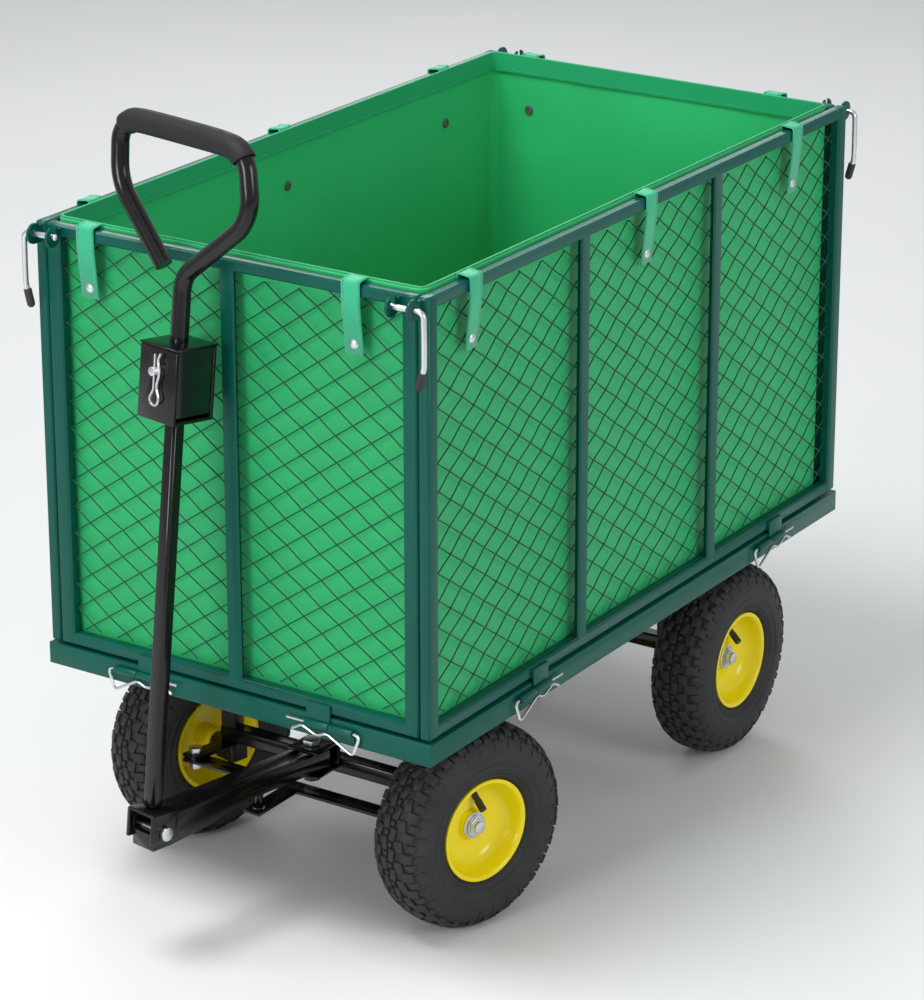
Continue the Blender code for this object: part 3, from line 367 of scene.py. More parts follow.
def body_of(node):
    return next(name for name, nodes in record["behaviour"]["bodies"].items() if node in nodes)


def triangles(item):
    return sum(len(polygon.vertices) - 2 for polygon in item.data.polygons)


# %% [markdown]
# ## Steel that only needs its finish
#
# Beams, legs, knuckles, bolts and the square parts of the handle already have their real shape. They
# get paint or zinc, and a small rounding, because a knife-sharp edge is what gives a drawing away.

# %% Painted and plated steel
for node in ("bed_frame", "panel_left", "panel_right", "panel_front", "panel_rear"):
    keep(node, frame_paint, 0.0009)
for node in ("bed_floor", "cross_front", "cross_rear"):
    keep(node, black_paint, 0.0)
for node in ("leg_front_left", "leg_front_right", "leg_rear_left", "leg_rear_right"):
    keep(node, leg_paint, 0.001)
for node in (
    "front_beam", "rear_axle", "knuckle_left", "knuckle_right", "tie_bar", "pivot_bracket", "tongue",
    "pole_foot", "pole", "tow_clevis", "handle_box",
):
    keep(node, black_paint, 0.0010)
for node in ("tie_bolt_left", "tie_bolt_right", "kingbolt", "fork_bolt", "clevis_pin"):
    keep(node, zinc, 0.0005)

# %% [markdown]
# ## Wheels
#
# A ten-inch pneumatic wheel: a casing with rounded shoulders, staggered tread blocks, and a pressed
# steel rim with a deep dish. Casing and rim are one section each, spun about the axle. The tread is
# modelled flat, one pitch long, and then rolled round the casing: each block's corners are carried
# from (round, across, height) to the casing's surface.

# %% Where each wheel stands
UP = Vector((0, 0, 1))


def facing(spot, outward):
    """A frame at a spot, with its local Y outward and its local Z up."""
    return Matrix.Translation(spot) @ Matrix((outward.cross(UP), outward, UP)).transposed().to_4x4()


def wheel_place(name):
    """Wheel centre, with local Y along the axle and outward."""
    joint = joints[f"spin_{name}"]
    side = 1 if "left" in name else -1
    return facing(Vector(joint["pos_m"]), Vector(joint["axis"]).normalized() * side)


wheels = ("front_left", "front_right", "rear_left", "rear_right")
RADIUS = joints["spin_rear_left"]["pos_m"][2]
TREAD = 0.0036
print("wheel radius", round(RADIUS, 4))

# %% Casing section and the surface that the tread lies on
# (across, radius) from the middle of the tread to the bead, then back along the inside
shoulder = [
    (0.000, RADIUS - TREAD), (0.012, RADIUS - TREAD - 0.0004), (0.022, RADIUS - 0.0064),
    (0.030, RADIUS - 0.0112), (0.0355, RADIUS - 0.0180), (0.0388, RADIUS - 0.0280),
    (0.0400, RADIUS - 0.0390), (0.0397, RADIUS - 0.0430), (0.0402, RADIUS - 0.0434),
    (0.0401, RADIUS - 0.0442), (0.0395, RADIUS - 0.0446), (0.0392, RADIUS - 0.0480), (0.0382, 0.0770),
    (0.0388, 0.0764), (0.0387, 0.0748), (0.0374, 0.0742), (0.0364, 0.0722), (0.0368, 0.0716),
    (0.0362, 0.0702), (0.0345, 0.0690), (0.0318, 0.0660), (0.0301, 0.0651), (0.0292, 0.0592),
]
inside = [
    (0.018, 0.0592), (0.026, 0.076), (0.031, 0.094), (0.028, 0.110), (0.016, 0.1195), (0.0, 0.1205),
]
casing = [(r, y) for y, r in shoulder]
casing += [(r, y) for y, r in inside]
casing += [(r, -y) for y, r in reversed(inside[:-1])]
casing += [(r, -y) for y, r in reversed(shoulder[1:])]

walked = [0.0]
for (y0, r0), (y1, r1) in zip(shoulder, shoulder[1:]):
    walked.append(walked[-1] + math.hypot(y1 - y0, r1 - r0))
print("from the middle of the tread to the bead", round(walked[-1], 4))


def on_casing(across):
    """(y, radius) and the outward slope of the casing at a distance across from its middle."""
    far = abs(across)
    k = next(i for i in range(len(walked) - 1) if far <= walked[i + 1])
    share = (far - walked[k]) / (walked[k + 1] - walked[k])
    (y0, r0), (y1, r1) = shoulder[k], shoulder[k + 1]
    y, r = y0 + (y1 - y0) * share, r0 + (r1 - r0) * share
    slope = Vector((r0 - r1, y1 - y0)).normalized()
    side = 1 if across >= 0 else -1
    return side * y, r, side * slope.x, slope.y


# %% One block of tread
PITCHES = 30
PITCH = math.tau * RADIUS / PITCHES
SUNK = 0.0008    # how far a block's foot goes into the casing


def tread_block(bm, around, across, length, width, skew, height):
    """A block on the flat strip, its top edges rolled over."""
    lean = Matrix.Rotation(skew, 4, "Z")
    place = Matrix.Translation((around, across, height / 2 - SUNK)) @ lean
    size = Matrix.Diagonal((length, width, height + 2 * SUNK, 1))
    made = bmesh.ops.create_cube(bm, size=1.0, matrix=place @ size)
    top = [v for v in made["verts"] if v.co.z > height / 2]
    rim = dict.fromkeys(e for v in top for e in v.link_edges if all(w in top for w in e.verts))
    bmesh.ops.bevel(
        bm, geom=list(rim), offset=0.0007, segments=1, profile=0.5, affect="EDGES", material=-1
    )


# %% The whole strip, and rolling it round
# share of a pitch, distance across, length, width, skew in radians, height
BLOCKS = (
    (0.00, 0.0062, 0.0165, 0.0088, 0.18, 0.0034),
    (0.50, 0.0035, 0.0060, 0.0058, 0.00, 0.0034),
    (0.50, 0.0168, 0.0150, 0.0098, -0.18, 0.0034),
    (0.02, 0.0262, 0.0128, 0.0130, 0.08, 0.0034),
    (0.52, 0.0318, 0.0095, 0.0105, 0.00, 0.0028),
    (0.05, 0.0425, 0.0050, 0.0120, 0.00, 0.0012),
    (0.05, 0.0530, 0.0016, 0.0030, 0.00, 0.0004),
    (0.30, 0.0530, 0.0016, 0.0030, 0.00, 0.0004),
    (0.55, 0.0530, 0.0016, 0.0030, 0.00, 0.0004),
    (0.80, 0.0530, 0.0016, 0.0030, 0.00, 0.0004),
)
LONG_EDGE = 0.0065    # an edge this long is cut once, so that it can bend with the casing


def tread_strip():
    bm = bmesh.new()
    for k in range(PITCHES):
        for side in (1, -1):
            start = k * PITCH if side > 0 else k * PITCH + PITCH / 2
            for share, across, length, width, skew, height in BLOCKS:
                around = start + PITCH * share
                tread_block(bm, around, side * across, length, width, side * skew, height)
    long_edges = [e for e in bm.edges if abs(e.verts[0].co.y - e.verts[1].co.y) > LONG_EDGE]
    bmesh.ops.subdivide_edges(bm, edges=long_edges, cuts=1, use_grid_fill=True)
    return bm


def rolled(bm, place):
    for vert in bm.verts:
        y, radius, out_y, out_r = on_casing(vert.co.y)
        angle = vert.co.x / RADIUS
        reach = radius + vert.co.z * out_r
        vert.co = (reach * math.cos(angle), y + vert.co.z * out_y, reach * math.sin(angle))
    bm.transform(place)
    return bm


# %% Tyres
WHEEL_STEPS = 72


def turned(section, steps, place):
    """Spin a closed (radius, y) section right round the Y axis, then move it to its place."""
    bm = bmesh.new()
    ring = [bm.verts.new((radius, y, 0)) for radius, y in section]
    edges = [bm.edges.new(pair) for pair in zip(ring, ring[1:] + ring[:1])]
    bmesh.ops.spin(
        bm, geom=ring + edges, cent=(0, 0, 0), axis=(0, 1, 0), angle=math.tau, steps=steps,
        use_merge=True,
    )
    bmesh.ops.remove_doubles(bm, verts=bm.verts, dist=0.00001)
    bm.transform(place)
    return bm


def join(bm, other):
    """Add a second bmesh to the first."""
    scrap = bpy.data.meshes.new("scrap")
    other.to_mesh(scrap)
    other.free()
    bm.from_mesh(scrap)
    bpy.data.meshes.remove(scrap)


for name in wheels:
    place = wheel_place(name)
    tyre = turned(casing, WHEEL_STEPS, place)
    join(tyre, rolled(tread_strip(), place))
    made = piece(f"treaded_tyre_{name}", tyre, tyre_rubber, body_of(f"tyre_{name}"), 50)
    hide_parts(f"tyre_{name}")
print("tyre triangles", triangles(made))

# %% [markdown]
# The rim is one pressed and welded shell, so it is a single closed section: rolled lips, the bead
# seats and well under the tyre, the dish, and the hub tube in the middle.

# %% Rims
# Each list holds (radius, outward) points, in the order in which the section is walked round.
lip = [
    (0.0644, 0.0306), (0.0647, 0.0322), (0.0642, 0.0335), (0.0628, 0.0341), (0.0610, 0.0338),
    (0.0594, 0.0328), (0.0582, 0.0310),
]
dish = [
    (0.0568, 0.0255), (0.0548, 0.0195), (0.0518, 0.0135), (0.0470, 0.0086), (0.0405, 0.0056),
    (0.0320, 0.0038), (0.0240, 0.0036), (0.0196, 0.0048), (0.0180, 0.0072), (0.0170, 0.0118),
    (0.0083, 0.0120),
]
behind = [
    (0.0083, -0.0300), (0.0152, -0.0300), (0.0158, -0.0285), (0.0158, -0.0010), (0.0215, 0.0012),
    (0.0320, 0.0012), (0.0410, 0.0022), (0.0480, 0.0030), (0.0520, -0.0120), (0.0560, -0.0240),
]
lip_behind = [(r, -y) for r, y in reversed(lip)]
seat = [
    (0.0583, -0.0296), (0.0583, -0.0160), (0.0537, -0.0100), (0.0537, 0.0100), (0.0583, 0.0160),
    (0.0583, 0.0296),
]
rim_section = lip + dish + behind + lip_behind + seat
print("points in the rim's section", len(rim_section))


def add_rim(name):
    shell = turned(rim_section, WHEEL_STEPS, wheel_place(name))
    rim = piece(f"dished_rim_{name}", shell, rim_paint, body_of(f"rim_{name}"))
    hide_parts(f"rim_{name}")


# %% Bearing rings and axle nuts
bearing = [
    (0.0084, 0.0123), (0.0166, 0.0123), (0.0166, 0.0133), (0.0154, 0.0137), (0.0146, 0.0134),
    (0.0142, 0.0127), (0.0132, 0.0127), (0.0128, 0.0139), (0.0118, 0.0142), (0.0114, 0.0150),
    (0.0126, 0.0151), (0.0126, 0.0158), (0.0084, 0.0158),
]


def drum(bm, radius, low, high, sides, place, edge):
    """Add a round or many-sided drum along the Y axis between two heights."""
    lying = Matrix.Translation((0, (low + high) / 2, 0)) @ Matrix.Rotation(-math.pi / 2, 4, "X")
    made = bmesh.ops.create_cone(
        bm, cap_ends=True, segments=sides, radius1=radius, radius2=radius, depth=high - low,
        matrix=place @ lying,
    )
    seams = dict.fromkeys(e for vert in made["verts"] for e in vert.link_edges)    # keeps its order
    sharp = [e for e in seams if len(e.link_faces) == 2 and e.calc_face_angle(0) > math.radians(50)]
    bmesh.ops.bevel(
        bm, geom=sharp, offset=edge, segments=2, profile=0.5, affect="EDGES", material=-1
    )


def add_nut(name):
    place = wheel_place(name)
    fasteners = turned(bearing, 40, place)
    drum(fasteners, 0.0108, 0.0160, 0.0204, 6, place, 0.0006)
    drum(fasteners, 0.0081, 0.0205, 0.0238, 24, place, 0.0009)
    nut = piece(f"hub_nut_{name}", fasteners, zinc, body_of(f"axle_nut_{name}"), 30)
    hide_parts(f"axle_nut_{name}")


# %% Valves
def tube(name, paths, radius, sides):
    """Round wire along one or more paths, as a bmesh. A curve's bevel does the sweeping."""
    data = bpy.data.curves.new(name, "CURVE")
    data.dimensions, data.bevel_depth, data.bevel_resolution = "3D", radius, sides
    data.use_fill_caps = True
    for path in paths:
        spline = data.splines.new("POLY")
        spline.points.add(len(path) - 1)
        for point, spot in zip(spline.points, path):
            point.co = (*spot, 1)
    holder = bpy.data.objects.new(name, data)
    bpy.context.scene.collection.objects.link(holder)
    bpy.context.view_layer.update()
    bm = bmesh.new()
    bm.from_mesh(holder.to_mesh())
    holder.to_mesh_clear()
    bpy.data.objects.remove(holder, do_unlink=True)
    bpy.data.curves.remove(data)
    return bm


VALVE_TURN = {"front_left": 80, "front_right": 100, "rear_left": 62, "rear_right": 120}


def add_valve(name):
    place = wheel_place(name)
    tip = math.radians(VALVE_TURN[name])
    along = Vector((-math.cos(tip), 0, math.sin(tip)))
    root = place @ (along * 0.0380 + Vector((0, 0.0040, 0)))
    end = place @ (along * 0.0230 + Vector((0, 0.0235, 0)))
    stem = tube("stem", [[root, root.lerp(end, 0.55), root.lerp(end, 0.56), end]], 0.0040, 4)
    join(stem, tube("cap", [[root.lerp(end, 0.45), root.lerp(end, 1.03)]], 0.0046, 4))
    piece(f"valve_{name}", stem, grip_rubber, body_of(f"rim_{name}"), 50)


# %% Rim, nut and valve on each wheel
for name in wheels:
    add_rim(name)
    add_nut(name)
    add_valve(name)
print("wheels finished", len(wheels))

# %% [markdown]
# ## Woven wire in the panels
#
# Two sets of parallel wires cross at about 35 degrees from the level, so the openings are diamonds.
# Each wire waves over and under the ones it crosses. Hundreds of wires would be heavy as separate
# objects, so each panel's wires are splines of one curve, made a mesh once.

# %% Wire panels
DIAMOND_UP, DIAMOND_ALONG = 0.0330, 0.0480
WIRE = 0.00095


def diamond_wires(width, low, high):
    """Wave-shaped wires that fill a rectangle: (along, up, depth) points, along from -width/2."""
    slope = DIAMOND_UP / DIAMOND_ALONG
    quarter = DIAMOND_ALONG / 4
    paths = []
    for lean in (1, -1):
        first = math.floor((low - slope * width) / DIAMOND_UP) - 1
        last = math.ceil((high + slope * width) / DIAMOND_UP) + 1
        for k in range(first, last):
            path = []
            count = round(width / quarter)
            for i in range(count + 1):
                along = -width / 2 + width * i / count
                up = k * DIAMOND_UP + lean * slope * along
                if low <= up <= high:
                    wave = math.cos(math.pi * (along / (DIAMOND_ALONG / 2) + k))
                    path.append((along, up, lean * wave * WIRE * 0.9))
            if len(path) > 1:
                paths.append(path)
    return paths


for side in ("left", "right", "front", "rear"):
    low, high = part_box(f"mesh_{side}")
    middle = (low + high) / 2
    lengthwise = side in ("left", "right")
    width = (high.x - low.x) if lengthwise else (high.y - low.y)
    flat = diamond_wires(width + 0.002, low.z - 0.001, high.z + 0.001)
    if lengthwise:
        paths = [[Vector((middle.x + a, middle.y + d, z)) for a, z, d in path] for path in flat]
    else:
        paths = [[Vector((middle.x + d, middle.y + a, z)) for a, z, d in path] for path in flat]
    wires = tube("wires", paths, WIRE, 1)
    made = piece(f"wire_{side}", wires, wire_paint, body_of(f"mesh_{side}"), 80)
    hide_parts(f"mesh_{side}")
    print(made.name, "wires", len(paths), "triangles", triangles(made))

# %% [markdown]
# ## Liner
#
# A loose open bag of woven cloth stands inside the panels. One sheet makes it: a box without a lid,
# cut fine enough to crease. Long soft folds run down the walls, which stand in a little everywhere
# except at the rivets, the corners and the open edge, where the cloth is held.

# %% Where the cloth is held
liner_low, liner_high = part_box("liner")
liner_mid = (liner_low + liner_high) / 2
CLOTH_GAP = 0.0010
half_x = (liner_high.x - liner_low.x) / 2 - CLOTH_GAP
half_y = (liner_high.y - liner_low.y) / 2 - CLOTH_GAP
RIVETS_ALONG = (0.395, 0.012, -0.351)
RIVETS_ACROSS = (0.174, -0.200)
STRAP_DROP = 0.088
RIVET_UP = 0.013    # a rivet's height above the end of its strap
RIVET_Z = liner_high.z - STRAP_DROP + RIVET_UP
print("rivets at height", round(RIVET_Z, 4))


def held(spot, outward):
    """0 at a rivet, 1 well away from it."""
    if abs(outward.y) > 0.5:
        gaps = [spot.x - bed_middle.x - x for x in RIVETS_ALONG]
    else:
        gaps = [spot.y - y for y in RIVETS_ACROSS]
    nearest = min(math.hypot(gap, spot.z - RIVET_Z) for gap in gaps)
    return min(1.0, (nearest / 0.07) ** 2)


# %% Slack, and the bag itself
def slack(spot, outward):
    """How far the cloth stands in from its flat place, in metres."""
    along = spot.x if abs(outward.y) > 0.5 else spot.y
    deep = (spot.z - liner_low.z) / (liner_high.z - liner_low.z)
    folds = noise.noise(Vector((along * 9.0, spot.z * 1.6, outward.x * 3 + outward.y * 7)))
    creases = noise.noise(Vector((along * 30.0, spot.z * 6.0, 4 + outward.x + 2 * outward.y)))
    edge = min(1.0, (1 - deep) * 8)
    base = min(1.0, deep * 8)
    return (0.0022 + 0.0026 * folds + 0.0009 * creases) * edge * base * held(spot, outward)


CELL = 0.018        # the cloth is cut into cells of about this size
NEAR_WALL = 0.0004    # a vertex this close to a wall's plane belongs to that wall
CORNER_HOLD = 0.05    # the slack grows over this distance from a corner


def bag():
    bm = bmesh.new()
    size = Matrix.Diagonal((2 * half_x, 2 * half_y, liner_high.z - liner_low.z - 0.0006, 1))
    bmesh.ops.create_cube(bm, size=1.0, matrix=Matrix.Translation(liner_mid) @ size)
    lid = [f for f in bm.faces if f.normal.z > 0.5]
    bmesh.ops.delete(bm, geom=lid, context="FACES_ONLY")
    corners = [e for e in bm.edges if len(e.link_faces) == 2]
    bmesh.ops.bevel(
        bm, geom=corners, offset=0.012, segments=3, profile=0.5, affect="EDGES", material=-1
    )
    for number in range(3):
        axis = Vector([float(number == k) for k in range(3)])
        low, high = liner_low[number], liner_high[number]
        cuts = round((high - low) / CELL)
        for k in range(1, cuts):
            cut = axis * (low + (high - low) * k / cuts)
            everything = bm.verts[:] + bm.edges[:] + bm.faces[:]
            bmesh.ops.bisect_plane(bm, geom=everything, plane_co=cut, plane_no=axis, dist=0.00005)
    for vert in bm.verts:
        rel = vert.co - liner_mid
        gap_x, gap_y = half_x - abs(rel.x), half_y - abs(rel.y)
        end_wall = Vector((math.copysign(1, rel.x), 0, 0))
        side_wall = Vector((0, math.copysign(1, rel.y), 0))
        for outward, gap, away in ((end_wall, gap_x, gap_y), (side_wall, gap_y, gap_x)):
            if gap < NEAR_WALL:
                vert.co -= outward * slack(vert.co, outward) * min(1.0, away / CORNER_HOLD)
    return bm


liner = piece("liner_bag", bag(), liner_cloth, "cart", 60)
thick = liner.modifiers.new("cloth", "SOLIDIFY")
thick.thickness, thick.offset = 0.0008, 0.0
smooth = liner.modifiers.new("smooth", "SUBSURF")
smooth.levels = smooth.render_levels = 1
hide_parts("liner")
print("liner faces", len(liner.data.polygons))

# %% [markdown]
# The open edge is folded over and sewn: a band of doubled cloth, with a line of stitches near its
# lower edge. A box without top and bottom, its corners rounded and its walls thickened, makes it.

# %% Hem
HEM = 0.026
HEM_WALL = 0.0032


def hem_ring(offset, low, high, thickness):
    bm = bmesh.new()
    size = Matrix.Diagonal((2 * (half_x - offset), 2 * (half_y - offset), high - low, 1))
    centre = Vector((liner_mid.x, liner_mid.y, (low + high) / 2))
    bmesh.ops.create_cube(bm, size=1.0, matrix=Matrix.Translation(centre) @ size)
    ends = [f for f in bm.faces if abs(f.normal.z) > 0.5]
    bmesh.ops.delete(bm, geom=ends, context="FACES_ONLY")
    upright = [e for e in bm.edges if abs(e.verts[0].co.z - e.verts[1].co.z) > 0.005]
    bmesh.ops.bevel(
        bm, geom=upright, offset=0.010, segments=3, profile=0.5, affect="EDGES", material=-1
    )
    bmesh.ops.recalc_face_normals(bm, faces=bm.faces)
    bmesh.ops.solidify(bm, geom=bm.faces[:], thickness=thickness)
    return bm


band = hem_ring(0.0012, liner_high.z - HEM, liner_high.z + 0.0006, HEM_WALL)
hem = piece("liner_hem", band, hem_cloth, "cart")
soft = hem.modifiers.new("soft", "BEVEL")
soft.width, soft.segments, soft.limit_method = 0.0010, 3, "ANGLE"
print("hem triangles", triangles(hem))

# %% Stitches
STITCH = 0.0065         # from one stitch to the next
STITCH_START = 0.02     # from the corner to the first stitch
ARC = ((0.0, 0.0), (0.0010, 0.0005), (0.0030, 0.0005), (0.0040, 0.0))    # along, and off the cloth


def stitches(height, inset):
    """Short threads round the inside of the hem."""
    paths = []
    for axis, span, other in (("x", half_x, half_y), ("y", half_y, half_x)):
        count = int((2 * span - 2 * STITCH_START) / STITCH)
        for side in (1, -1):
            for k in range(count):
                start = -span + STITCH_START + k * STITCH
                spots = []
                for step, lift in ARC:
                    across = side * (other - inset - lift)
                    pair = (start + step, across) if axis == "x" else (across, start + step)
                    spots.append(Vector((liner_mid.x + pair[0], liner_mid.y + pair[1], height)))
                paths.append(spots)
    return tube("threads", paths, 0.00035, 0)


sewing = stitches(liner_high.z - HEM + 0.004, 0.0046)
thread = piece("hem_stitches", sewing, webbing, "cart", 80)

# %% [markdown]
# ## Straps and snap rivets
#
# Short lengths of webbing are sewn to the hem, go over the rail and hang outside the wire, where a
# rivet goes through to the liner. Each strap is a flat strip along a path, with sewn edges.

# %% A strap's path
STRAP = 0.025


def rounded(points, radii, step=math.radians(12)):
    """A path whose corners are turned into arcs."""
    points = [Vector(p) for p in points]
    path = [points[0]]
    for before, corner, after, radius in zip(points, points[1:], points[2:], radii):
        inward, outward = (before - corner).normalized(), (after - corner).normalized()
        bend = math.pi - inward.angle(outward)
        start = corner + inward * radius * math.tan(bend / 2)
        centre = corner + (inward + outward).normalized() * radius / math.cos(bend / 2)
        normal = inward.cross(outward).normalized()
        steps = max(2, round(bend / step))
        for k in range(steps + 1):
            path.append(centre + Matrix.Rotation(-bend * k / steps, 3, normal) @ (start - centre))
    path.append(points[-1])
    return path


def strap_path(cloth, rail, top, sign):
    """Corners (outward, up) of a strap's path: up the hem, over the rail and down outside it."""
    corners = [
        Vector((cloth, top - 0.014, 0)), Vector((cloth, top + 0.0016, 0)),
        Vector((rail + sign * 0.0021, top - 0.0004, 0)), Vector((rail + sign * 0.0016, top - 0.026, 0)),
        Vector((rail - sign * 0.0052, top - STRAP_DROP, 0)),
    ]
    return rounded(corners, (0.0024, 0.0034, 0.060))


# %% Thread along a strap
def zigzag(name, path, along, sign, lengthwise, body):
    """Thread that runs to and fro along both edges of a strap, on its outer face."""
    spots = []
    for lower, upper in zip(path, path[1:]):
        steps_here = max(1, round((upper - lower).length / 0.0022))
        normal = (upper - lower).normalized().cross(Vector((0, 0, 1))) * sign
        spots += [(lower.lerp(upper, k / steps_here), normal) for k in range(steps_here)]
    routes = []
    for edge in (-1, 1):
        route = []
        for k, (spot, normal) in enumerate(spots):
            across = along + edge * (STRAP / 2 - 0.0012 - 0.0030 * (k % 2))
            out, up = spot.x - normal.x * 0.0010, spot.y - normal.y * 0.0010
            route.append((across, out, up) if lengthwise else (out, across, up))
        routes.append(route)
    sewing = tube("thread", routes, 0.00032, 0)
    return piece(f"{name}_thread", sewing, thread_finish, body, 80)


# %% Snap and washer
# (radius, outward) sections, from the middle of the face round to the middle of the back
SNAP = [
    (0.0001, 0.0040), (0.0028, 0.0037), (0.0050, 0.0029), (0.0064, 0.0016), (0.0068, 0.0004),
    (0.0068, -0.0004), (0.0001, -0.0004),
]
WASHER = [
    (0.0001, 0.0012), (0.0022, 0.0012), (0.0026, 0.0022), (0.0060, 0.0019), (0.0066, 0.0010),
    (0.0066, 0.0002), (0.0001, 0.0002),
]


def rivet(name, side, along, end, sign, lengthwise):
    """Domed snap outside and a washer inside."""
    height = end.y + RIVET_UP
    out = Vector((0, sign, 0)) if lengthwise else Vector((sign, 0, 0))
    level = end.x + sign * 0.0004
    spot = Vector((along, level, height)) if lengthwise else Vector((level, along, height))
    snap = turned(SNAP, 24, facing(spot, out))
    piece(f"{name}_rivet", snap, zinc, body_of(f"panel_{side}"), 50)
    inner = sign * ((half_y if lengthwise else half_x) - 0.0007)
    spot = Vector((along, inner, height)) if lengthwise else Vector((liner_mid.x + inner, along, height))
    piece(f"{name}_back", turned(WASHER, 20, facing(spot, -out)), dark_steel, "cart", 50)


# %% A whole strap
def strap(name, side, along, sign):
    low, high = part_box(f"mesh_{side}")
    lengthwise = side in ("left", "right")
    middle = (low + high) / 2
    depth = middle.y if lengthwise else middle.x
    rail = depth + sign * 0.0091
    cloth = depth - sign * 0.0067
    path = strap_path(cloth, rail, liner_high.z, sign)
    bm = bmesh.new()
    count = 6
    crown = 0.0004
    rows = []
    for spot in path:
        row = []
        for k in range(count + 1):
            across = STRAP * (k / count - 0.5)
            curve = crown * (1 - (2 * k / count - 1) ** 2)
            out = spot.x + sign * curve
            point = (along + across, out, spot.y) if lengthwise else (out, along + across, spot.y)
            row.append(bm.verts.new(point))
        rows.append(row)
    edges = []
    for row in rows:
        edges.append([bm.edges.new(pair) for pair in zip(row, row[1:])])
    for lower, upper in zip(edges, edges[1:]):
        bmesh.ops.bridge_loops(bm, edges=lower + upper)
    made = piece(name, bm, webbing, body_of(f"panel_{side}"), 60)
    wall = made.modifiers.new("webbing", "SOLIDIFY")
    wall.thickness, wall.offset = 0.0012, 0.0
    length = sum((b - a).length for a, b in zip(path, path[1:]))
    sewn = zigzag(name, path, along, sign, lengthwise, body_of(f"panel_{side}"))
    rivet(name, side, along, path[-1], sign, lengthwise)


# %% All ten straps
centre_x = bed_middle.x
for number, x in enumerate(RIVETS_ALONG):
    for side, sign in (("left", 1), ("right", -1)):
        strap(f"strap_{side}_{number}", side, centre_x + x, sign)
for number, y in enumerate(RIVETS_ACROSS):
    strap(f"strap_front_{number}", "front", y, 1)
    strap(f"strap_rear_{number}", "rear", y, -1)
print("straps", 2 * len(RIVETS_ALONG) + 2 * len(RIVETS_ACROSS))

# %% [markdown]
# ## Hairpins, latch rods and the small clip
#
# All are bent wire. The hairpin's straight leg is the hinge pin and its waved leg springs below the
# knuckles. A latch is one rod with a round nose, bent down into a lever with a moulded rubber grip.

# %% Hairpins and the small clip
for side, ends in (
    ("left", ("front", "back")), ("right", ("front", "back")),
    ("front", ("left", "right")), ("rear", ("left", "right")),
):
    for where in ends:
        keep(f"hairpin_{side}_{where}", zinc, 0.0)
keep("r_clip", zinc, 0.0)

# %% Latch rods
ROD = 0.0034
NOSE = 0.0040
GRIP = 0.0049


def ball(bm, radius, place):
    """A round end at a place."""
    at = Matrix.Translation(place)
    bmesh.ops.create_uvsphere(bm, u_segments=16, v_segments=10, radius=radius, matrix=at)


for side, sign in (("left", 1), ("right", -1)):
    for where in ("front", "rear"):
        node = f"latch_{side}_{where}"
        low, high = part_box(node)
        x = ((low + high) / 2).x
        axis_z = high.z - 0.0035
        tip = low.y if sign > 0 else high.y
        bend = (high.y if sign > 0 else low.y) - sign * 0.0045
        shape = [
            (x, tip + sign * 0.0035, axis_z), (x, bend, axis_z), (x, bend + sign * 0.0006, axis_z - 0.040),
            (x, bend + sign * 0.0004, axis_z - 0.064), (x, bend - sign * 0.0060, low.z + 0.006),
        ]
        path = rounded(shape, (0.0075, 0.030, 0.030))
        rod = tube("rod", [path], ROD, 4)
        ball(rod, NOSE, shape[0])
        made = piece(f"latch_rod_{side}_{where}", rod, zinc, body_of(node), 50)
        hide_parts(node)
        start, end = path[-3].lerp(path[-1], 0.25), path[-1]
        grip = tube("grip", [[start, start.lerp(end, 0.2), start.lerp(end, 0.9), end]], GRIP, 4)
        ball(grip, GRIP - 0.0001, end)
        piece(f"latch_grip_{side}_{where}", grip, grip_rubber, body_of(node), 50)
print("latch rod triangles", triangles(made))

# %% [markdown]
# ## Handle loop and grip
#
# The loop is one bent tube with a cut end, so its bore shows there. Its corners and bends are those of
# the engineering model, written in the handle's own frame, where local Z runs up the pole. The foam
# grip keeps the model's shape, with its facets rounded off.

# %% The handle's own frame
pivot = joints["handle_pitch"]
pivot_at = Vector(pivot["pos_m"])
handle_y = Vector(pivot["axis"]).normalized()
handle_y = handle_y if handle_y.y > 0 else -handle_y
pole_points = [v.co for v in frame["nodes"]["pole"].data.vertices]
pole_middle = sum(pole_points, Vector()) / len(pole_points)
handle_z = pole_middle - pivot_at
handle_z = (handle_z - handle_y * handle_z.dot(handle_y)).normalized()
handle_x = handle_y.cross(handle_z)
handle = Matrix.Translation(pivot_at) @ Matrix((handle_x, handle_y, handle_z)).transposed().to_4x4()
print("the pole leans back by", round(math.degrees(handle_z.angle(UP)), 1), "degrees")

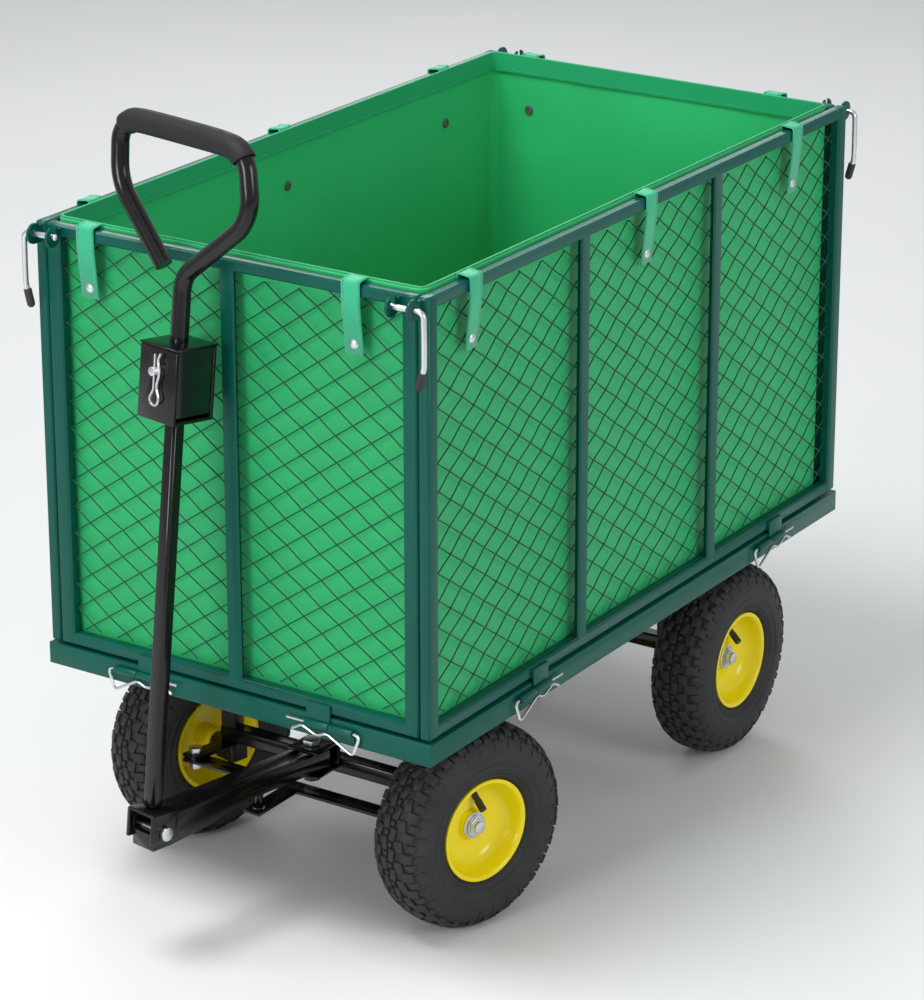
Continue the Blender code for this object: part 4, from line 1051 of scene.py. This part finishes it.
# %% Loop
LOOP = 0.0106
BORE = 0.0086
BORE_DEPTH = 0.03
corners = [
    (0, 0, 0.5879), (0, 0, 0.663), (0, 0.104, 0.748), (0, 0.088, 0.826), (0, -0.116, 0.828),
    (0, -0.112, 0.752), (0, -0.032, 0.670),
]
route = rounded(corners, (0.036, 0.052, 0.034, 0.030, 0.062), math.radians(6))
loop = tube("loop", [[handle @ spot for spot in route]], LOOP, 6)
tip = handle @ route[-1]
inward = (handle @ route[-2] - tip).normalized()
loop.faces.ensure_lookup_table()
end_cap = min(loop.faces, key=lambda face: (face.calc_center_median() - tip).length)
bmesh.ops.inset_region(loop, faces=[end_cap], thickness=LOOP - BORE)
pushed = bmesh.ops.extrude_discrete_faces(loop, faces=[end_cap])["faces"]
floor_of_bore = list({v for face in pushed for v in face.verts})
bmesh.ops.translate(loop, verts=floor_of_bore, vec=inward * BORE_DEPTH)
loop_piece = piece("bent_loop", loop, black_paint, "handle", 45)
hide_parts("handle_loop")
print("loop end", [round(c, 4) for c in tip])

# %% Foam grip
keep("handle_grip", grip_foam, 0.0)
weld = frame["nodes"]["handle_grip"].modifiers.new("weld", "WELD")
weld.merge_threshold = 0.00002
soft_foam = frame["nodes"]["handle_grip"].modifiers.new("round", "SUBSURF")
soft_foam.levels = soft_foam.render_levels = 2

# %% [markdown]
# ## Floor
#
# A plain pale floor, large enough to reach past the frame.

# %% Floor
floor_mesh = bpy.data.meshes.new("floor")
bm = bmesh.new()
bmesh.ops.create_grid(bm, x_segments=1, y_segments=1, size=14)
bm.to_mesh(floor_mesh)
bm.free()
floor = bpy.data.objects.new("floor", floor_mesh)
bpy.context.scene.collection.objects.link(floor)
floor_finish = Finish("floor", 0.8)
patches = floor_finish.cloudy(0.4)
floor_finish.colour(
    floor_finish.blend_colours(patches, (0.74, 0.75, 0.74, 1), (0.78, 0.78, 0.77, 1))
)
floor.data.materials.append(floor_finish.material)
floor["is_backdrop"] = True

# %% Sizes, and the end
low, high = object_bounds()
print("visual box", [round(v, 4) for v in high - low])
